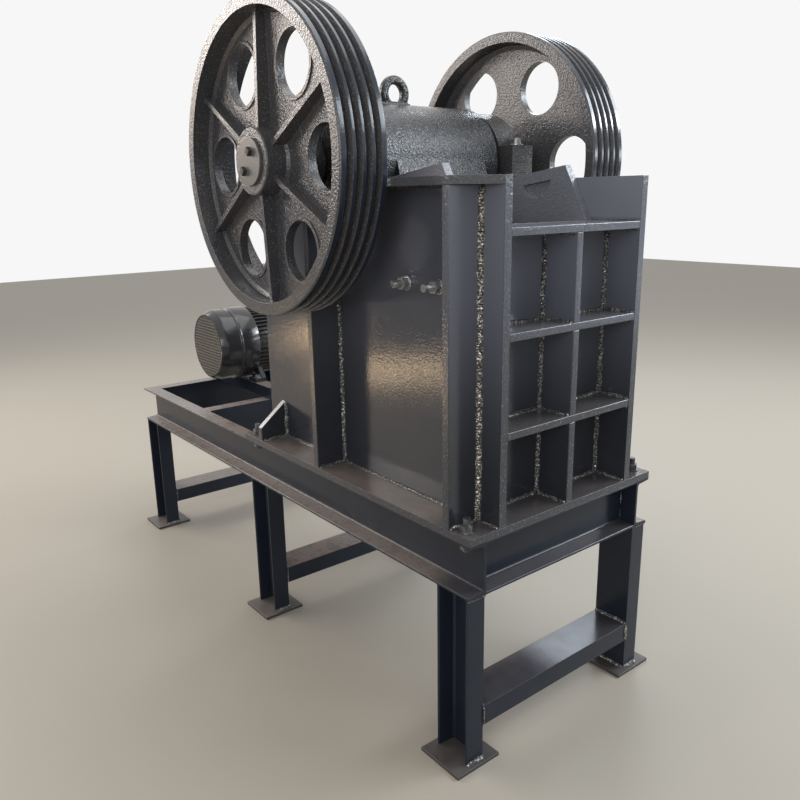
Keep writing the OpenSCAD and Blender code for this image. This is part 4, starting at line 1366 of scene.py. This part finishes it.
@dataclass
class Skid:
    """The channel skid with its legs, ties, feet and hold-down bolts.

    Attributes:
        top_z: top of the skid.
        beam_h: height of its channels.
        web_y: the side channels' webs.
        edge_y: the tips of their flanges.
        flange: width of the channels' flanges.
        leg_d: depth of a leg.
        leg_inset: how far the end legs stand in from the skid's ends.
        foot_z: top of the foot plates.
        tie_top_z: top of the ties.
        tie_seam: the ends of a tie's upright seam, below its top.
        root: thickness of a flange with its fillet.
        length: length of the skid.
        cross_x: far face of the cross beam under the body's rear end.
    """

    top_z: float = -20.0
    beam_h: float = 146.0
    web_y: float = 311.0
    edge_y: float = 370.0
    flange: float = 59.0
    leg_d: float = 116.0
    leg_inset: float = 5.0
    foot_z: float = -651.0
    tie_top_z: float = -495.0
    tie_seam: Span = (56.0, 3.0)
    root: float = 11.0
    length: float = 2153.0
    cross_x: float = 1645.0

    def dress(self, dresser: NodeDresser) -> None:
        """Enamels the steelwork darker than the body, as painted shade, and the feet duller and
        dirtier than the rest.
        """
        dresser.dress("skid_enamel", 1.2, "skid_beam_right", "skid_beam_left",
                      "skid_cross_members", "legs", "leg_ties", "motor_rails")
        dresser.dress("foot_enamel", 1.5, "foot_plates")
        dresser.dress("thread_upright", 0.9, "hold_down_bolts")

    def beads(self) -> list[Bead]:
        """The beads of the near half of the skid.

        Returns:
            Corner seams of the cross channels, leg feet, leg tops and ties.
        """
        under = self.top_z - self.beam_h
        web, edge = -self.web_y, -self.edge_y
        low, high = under + self.root, self.top_z - self.root
        rear, cross = self.flange - self.length, self.flange - self.cross_x
        beads = [Bead((x, web, low), (x, web, high), way, INWARD, leg=8.0) for x, way in
                 ((-self.flange, FORWARD), (rear, BACK), (cross, BACK), (cross, FORWARD))]
        half = self.leg_d / 2
        foot, tie = self.foot_z, self.tie_top_z
        for x in (self.leg_inset + half, self.length / 2, self.length - self.leg_inset - half):
            ahead, behind = half - x, -half - x
            for side, way in ((ahead, FORWARD), (behind, BACK)):
                seam = [(side, web, tie - drop) for drop in self.tie_seam]
                beads += [
                    Bead((side, web, foot), (side, edge, foot), way, UP),
                    Bead((side, web, under), (side, edge, under), way, DOWN, leg=6.5),
                    Bead(*seam, way, INWARD, leg=5.0),
                ]
            beads += [Bead((behind, web, z), (ahead, web, z), INWARD, UP) for z in (foot, tie)]
        return beads

    def build(self, palette: Palette) -> None:
        """Makes the skid's weld beads."""
        WeldSet("skid_welds", "frame", self.beads(), 31).build(palette, both_sides=True)


@dataclass
class Motor:
    """The electric motor: its cowl with a fine grille, its fan and its foot bolts.

    Outlines are steps in radius and along the axis from the fan's end: of the cowl's rim
    from the grille's radius, of its raised band from the cowl's own, of the fan's hub from
    the axis.

    Attributes:
        fan_y: the fan's end of the cowl.
        cowl_r: radius of the cowl.
        cowl_len: length of the cowl.
        cowl_gap: how far the cowl stands off the fins.
        grille_r: radius of the grille.
        fin_r: radius over the fins.
        mesh_pitch: pitch of the grille's wires.
        wire: width of a wire.
        wire_y: the wires' middle, behind the cowl's end.
        blades: number of the fan's blades.
        blade_r: radius at a blade's root, and its length outwards.
        blade_y: where a blade begins along the axis, and its width.
        twist: turn of a blade along the axis, in radians.
        blade_t: thickness of a blade, as an angle.
        rails_y: the foot bolts along the rails' line.
        bolt_x: their distance from the motor's axis.
        pad_top: top of the feet.
    """

    fan_y: float = -171.0
    cowl_r: float = 158.0
    cowl_len: float = 176.0
    cowl_gap: float = 0.4
    grille_r: float = 131.0
    fin_r: float = 150.0
    mesh_pitch: float = 12.8
    wire: float = 3.4
    wire_y: float = 2.2
    blades: int = 7
    blade_r: Span = (44.0, 78.0)
    blade_y: Span = (16.0, 44.0)
    twist: float = 0.35
    blade_t: float = 0.05
    rails_y: Span = (-5.0, 256.0)
    bolt_x: float = 130.0
    pad_top: float = 46.0

    RIM: ClassVar[tuple[Span, ...]] = (
        (-3, 2), (-2, 0.3), (0, 0), (4, 0), (7, 1.2), (9, 4))
    BAND: ClassVar[tuple[Span, ...]] = (
        (-9, 24), (-6, 30), (-5, 35), (-4, 86), (-1.5, 88), (-0.6, 90), (-1.5, 99), (-3, 101),
        (-2.2, 104))
    HUB: ClassVar[tuple[Span, ...]] = ((8, 14), (40, 14), (46, 20), (46, 70), (8, 70))
    WASHER_AND_HEAD: ClassVar[tuple[tuple[float, float, float, int], ...]] = (
        (17.0, 0.0, 2.6, 40), (13.5, 2.6, 12.0, 6))
    CHAMFER: ClassVar[Span] = (1.6, 1.0)
    SMOOTH_DEG: ClassVar[float] = 32.0

    def dress(self, dresser: NodeDresser) -> None:
        """Enamels the motor's castings."""
        dresser.dress("motor_enamel", 1.0, "motor_body", "motor_end_shield",
                      "motor_terminal_box")
        dresser.dress("motor_enamel", 0.0, "motor_fan_cowl")
        dresser.dress("turned_steel", 1.0, "motor_shaft")
        dresser.dress("cast_enamel", 1.0, "motor_pulley")

    def _outline(self, steps: Sequence[Span], radius: float = 0.0) -> list[Span]:
        """An outline's points, from its steps off a radius and off the fan's end."""
        return [(radius + dr, self.fan_y + dy) for dr, dy in steps]

    def cowl(self, palette: Palette) -> None:
        """Makes the cowl, a turned shell with a raised band.

        Args:
            palette: the finishes.
        """
        r, g, end = self.cowl_r, self.grille_r, self.cowl_len
        lip = ((r, end - 2), (r - 0.8, end))
        back = ((self.fin_r + self.cowl_gap, y) for y in (end, 40))
        inside = ((g + 8, 7), (g - 2, 5))
        profile = (self._outline(self.RIM, g) + self._outline(self.BAND, r)
                   + self._outline((*lip, *back, *inside)))
        shell = Shell()
        shell.add(*tube(turned(profile, Place.MOTOR_MM, 128), closed=True))
        piece = shell.piece("fan_cowl", "frame", Slot.MOTOR, palette.get("motor_enamel"),
                            self.SMOOTH_DEG)
        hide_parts("motor_fan_cowl")

    def grille(self, palette: Palette) -> None:
        """Makes the grille: wires at equal steps across a disc, each as long as its chord.

        Args:
            palette: the finishes.
        """
        half = int(self.grille_r / self.mesh_pitch)
        place = np.arange(-half, half + 1) * self.mesh_pitch
        chord = np.sqrt((self.grille_r + 0.5) ** 2 - place ** 2)
        middle = Place.MOTOR_MM + np.array([0.0, self.fan_y + self.wire_y, 0.0])
        w = np.full_like(place, self.wire / 2)
        flat = 0.8 * w
        shell = Shell()
        for high_corner, low_corner in (
            ((place + w, w, chord), (place - w, -w, -chord)),
            ((chord, flat, place + w), (-chord, -flat, place - w)),
        ):
            shell.add(*boxes(middle + np.stack(low_corner, -1),
                             middle + np.stack(high_corner, -1)))
        shell.piece("fan_grille", "frame", Slot.MOTOR, palette.get("grille_enamel"),
                    self.SMOOTH_DEG)

    def fan(self, palette: Palette) -> None:
        """Makes the fan behind the grille: twisted blades round a hub.

        A blade's point at the share u outwards and v along the axis lies at the radius
        44 + 78 u and the angle of its blade plus 0.35 v.

        Args:
            palette: the finishes.
        """
        shell = Shell()
        shell.add(*tube(turned(self._outline(self.HUB), Place.MOTOR_MM, 48), closed=True))
        u, v = np.meshgrid(np.linspace(0, 1, 8), np.linspace(0, 1, 6), indexing="ij")
        r = self.blade_r[0] + self.blade_r[1] * u
        y = self.fan_y + self.blade_y[0] + self.blade_y[1] * v
        for blade in range(self.blades):
            angle = 2 * math.pi * blade / self.blades + self.twist * v
            front, back = (np.stack([r * np.cos(angle + d), y, r * np.sin(angle + d)], -1)
                           for d in (0.0, self.blade_t))
            rings = np.concatenate([front, back[:, ::-1]], 1)
            shell.add(*tube(Place.MOTOR_MM + rings))
        shell.piece("motor_fan", "frame", Slot.MOTOR, palette.get("motor_enamel"),
                    self.SMOOTH_DEG)

    def foot_bolts(self, palette: Palette) -> None:
        """Makes four hexagon bolts with washers on the motor's feet, each a stack of rings.

        Args:
            palette: the finishes.
        """
        shell = Shell()
        slope, rise = self.CHAMFER
        for y in self.rails_y:
            for x in (-self.bolt_x, self.bolt_x):
                foot = np.array([Place.MOTOR_MM[0] + x, y, self.pad_top])
                for radius, low, high, sides in self.WASHER_AND_HEAD:
                    angle = np.linspace(0, 2 * math.pi, sides, endpoint=False)
                    ring = np.stack([np.cos(angle), np.sin(angle), 0 * angle], -1)
                    steps = ((radius, low), (radius, high - rise), (radius - slope, high))
                    rings = np.stack([foot + ring * (k, k, 0) + (0, 0, z) for k, z in steps])
                    shell.add(*tube(rings))
        shell.piece("motor_foot_bolts", "frame", Slot.FASTENER, palette.get("fastener_steel"),
                    30.0)

    def build(self, palette: Palette) -> None:
        """Makes the motor's fine pieces."""
        for make in (self.cowl, self.grille, self.fan, self.foot_bolts):
            make(palette)


@dataclass(frozen=True)
class SoftLight:
    """A rectangular lamp.

    Attributes:
        name: its name.
        place: where it stands, in metres.
        target: what it points at.
        size: width and height in metres.
        power: in watts.
        colour: its tint.
    """

    name: str
    place: Point
    target: Point
    size: tuple[float, float]
    power: float
    colour: Colour = WHITE

    def build(self) -> None:
        """Makes the lamp."""
        data = bpy.data.lights.new(self.name, "AREA")
        data.shape = "RECTANGLE"
        data.size, data.size_y = self.size
        data.energy = self.power
        data.color = self.colour
        lamp = linked(self.name, data)
        lamp.visible_camera = False
        aim = Vector(self.target) - Vector(self.place)
        lamp.matrix_world = Matrix.Translation(self.place) @ aim.to_track_quat(
            "-Z", "Y").to_matrix().to_4x4()


@dataclass
class Studio:
    """A pale floor, a white backdrop, soft lamps and the camera.

    Attributes:
        eye: where the camera stands.
        heading_deg: how far it looks to +Y from -X.
        pitch_deg: how far it looks down.
        roll_deg: how far the picture is turned.
        lens_mm: its focal length.
        sensor_mm: width of its sensor.
        floor_half: half the floor's width.
        floor_colour: the floor's colour.
        floor_rough: its roughness.
        floor_grain: its relief.
        sky: level of the even light from the world.
        backdrop: level of the backdrop that camera and gloss see.
        ground: share of that light that comes from below the horizon.
        horizon: half the width of the horizon's soft edge, as the sine of its height.
        lamps: the soft lamps.
    """

    eye: Point = (2.2981, -1.5406, 1.4666)
    heading_deg: float = 38.26
    pitch_deg: float = 14.96
    roll_deg: float = -0.96
    lens_mm: float = 34.155
    sensor_mm: float = 36.0
    floor_half: float = 14.0
    floor_colour: Colour = (0.335, 0.305, 0.255)
    floor_rough: float = 0.55
    floor_grain: Grain = Grain(60.0, 0.0006, 0.2, 3.0)
    sky: float = 0.60
    backdrop: float = 0.93
    ground: float = 0.25
    horizon: float = 0.005
    lamps: tuple[SoftLight, ...] = (
        SoftLight("roof_light", (0.2, 0.4, 4.2), (0.0, 0.0, 0.6), (3.6, 2.4), 52.0,
                  (0.96, 0.98, 1.0)),
        SoftLight("door_light", (3.4, -4.4, 2.3), (0.2, -0.2, 0.9), (2.6, 2.2), 68.0,
                  (0.98, 0.98, 1.0)),
        SoftLight("window_light", (3.55, 4.45, 4.3), (0.6, 0.2, 1.5), (5.2, 1.8), 250.0,
                  (0.84, 0.92, 1.0)),
        SoftLight("window_pane", (2.9, 4.6, 3.6), (0.6, 0.2, 1.5), (1.3, 0.5), 70.0,
                  (0.90, 0.95, 1.0)),
        SoftLight("window_strip", (3.9, 4.7, 2.1), (0.4, 0.0, 1.6), (3.2, 0.42), 40.0,
                  (0.84, 0.92, 1.0)),
        SoftLight("low_window_light", (4.5, 5.6, 0.62), (1.0, 0.1, 0.9), (2.4, 1.1), 12.0,
                  (0.80, 0.88, 1.0)),
        SoftLight("far_window_light", (-2.0, 4.3, 3.55), (1.0, 0.2, 0.3), (1.5, 1.1), 40.0,
                  (0.78, 0.88, 1.0)),
        SoftLight("skyline_light", (-2.0, 4.05, 1.66), (1.05, 0.1, 1.47), (1.8, 0.4), 8.0,
                  (1.0, 0.94, 0.94)),
        SoftLight("yard_light", (-5.0, -2.3, 2.75), (0.3, -0.4, 1.4), (1.6, 1.4), 37.0,
                  (1.0, 0.82, 0.68)),
        SoftLight("loft_light", (-4.7, -2.9, 3.7), (0.5, -0.4, 0.6), (3.0, 1.0), 90.0,
                  (1.0, 0.97, 0.94)),
        SoftLight("gate_light", (-3.47, -4.21, 2.46), (0.4, 0.386, 1.75), (1.5, 0.7), 50.0,
                  (1.0, 0.87, 0.78)),
        SoftLight("rear_roof_light", (-4.2, -1.1, 3.3), (0.0, 0.0, 0.9), (1.8, 1.2), 25.0,
                  (1.0, 0.98, 0.96)),
        SoftLight("doorway_glow", (-2.4, -3.0, 0.07), (0.6, -0.27, 0.6), (1.7, 0.09), 5.6,
                  (1.0, 0.72, 0.43)),
        SoftLight("yard_glow", (-4.2, -3.1, 0.13), (0.3, -0.27, 0.6), (0.45, 0.2), 2.6,
                  (1.0, 0.70, 0.40)),
    )

    def floor(self) -> None:
        """Makes the floor, a wide plane under the feet."""
        half = self.floor_half
        mesh = bpy.data.meshes.new("floor")
        mesh.from_pydata([(-half, -half, 0), (half, -half, 0), (half, half, 0), (-half, half, 0)],
                         [], [(0, 1, 2, 3)])
        graph = Graph.of_material("pale_floor")
        relief = graph.relief((self.floor_grain,))
        mesh.materials.append(graph.finish(self.floor_colour, self.floor_rough, 0.0, relief))
        linked("floor", mesh)

    def world(self) -> None:
        """White to camera, glossy and transmitted rays, and a soft even sky to the rest.

        Below the horizon, past the floor's edge, all but the camera see the floor's grey.
        """
        world = bpy.data.worlds.new("studio_world")
        bpy.context.scene.world = world
        g = Graph(world)
        path = g.add("LightPath").outputs
        seen = g.math("MAXIMUM", path["Is Camera Ray"], path["Is Glossy Ray"])
        seen = g.math("MAXIMUM", seen, path["Is Transmission Ray"])
        level = g.span(seen, 0.0, 1.0, self.sky, self.backdrop, kind="LINEAR")
        height = g.part(g.place.outputs["Generated"], Axis.Z)
        ground = g.span(height, -self.horizon, self.horizon, self.ground, kind="LINEAR")
        shown = g.math("MAXIMUM", ground, path["Is Camera Ray"])
        light = g.add("Background", Color=WHITE, Strength=g.math("MULTIPLY", level, shown))
        g.close("OutputWorld", light)

    def camera(self) -> None:
        """Puts the camera where the photograph was taken.

        The view direction turns down by the pitch from the heading, and the picture's
        right and up turn about it by the roll.
        """
        b, p, r = (math.radians(a) for a in (self.heading_deg, self.pitch_deg, self.roll_deg))
        ahead = Vector((-math.cos(b) * math.cos(p), math.sin(b) * math.cos(p), -math.sin(p)))
        right = Vector((math.sin(b), math.cos(b), 0.0))
        up = right.cross(ahead)
        x = math.cos(r) * right + math.sin(r) * up
        y = -math.sin(r) * right + math.cos(r) * up
        data = bpy.data.cameras.new("camera")
        data.lens = self.lens_mm
        data.sensor_width = self.sensor_mm
        camera = linked("camera", data)
        turn = Matrix((x, y, -ahead)).transposed().to_4x4()
        camera.matrix_world = Matrix.Translation(self.eye) @ turn
        bpy.context.scene.camera = camera

    def build(self) -> None:
        """Makes all of it."""
        self.floor()
        self.world()
        for lamp in self.lamps:
            lamp.build()
        self.camera()
        bpy.context.scene.view_settings.view_transform = "Standard"


def main() -> None:
    """Builds and dresses every sub-assembly, then the studio."""
    logging.basicConfig(level=logging.INFO, format="%(name)s: %(message)s")
    palette = Palette()
    dresser = NodeDresser(palette)
    for part in (CrusherBody(), Chamber(), RotatingGroup(), Skid(), Motor()):
        part.dress(dresser)
        part.build(palette)
        LOG.info("finished %s", type(part).__name__)
    Studio().build()


if __name__ == "__main__":
    main()
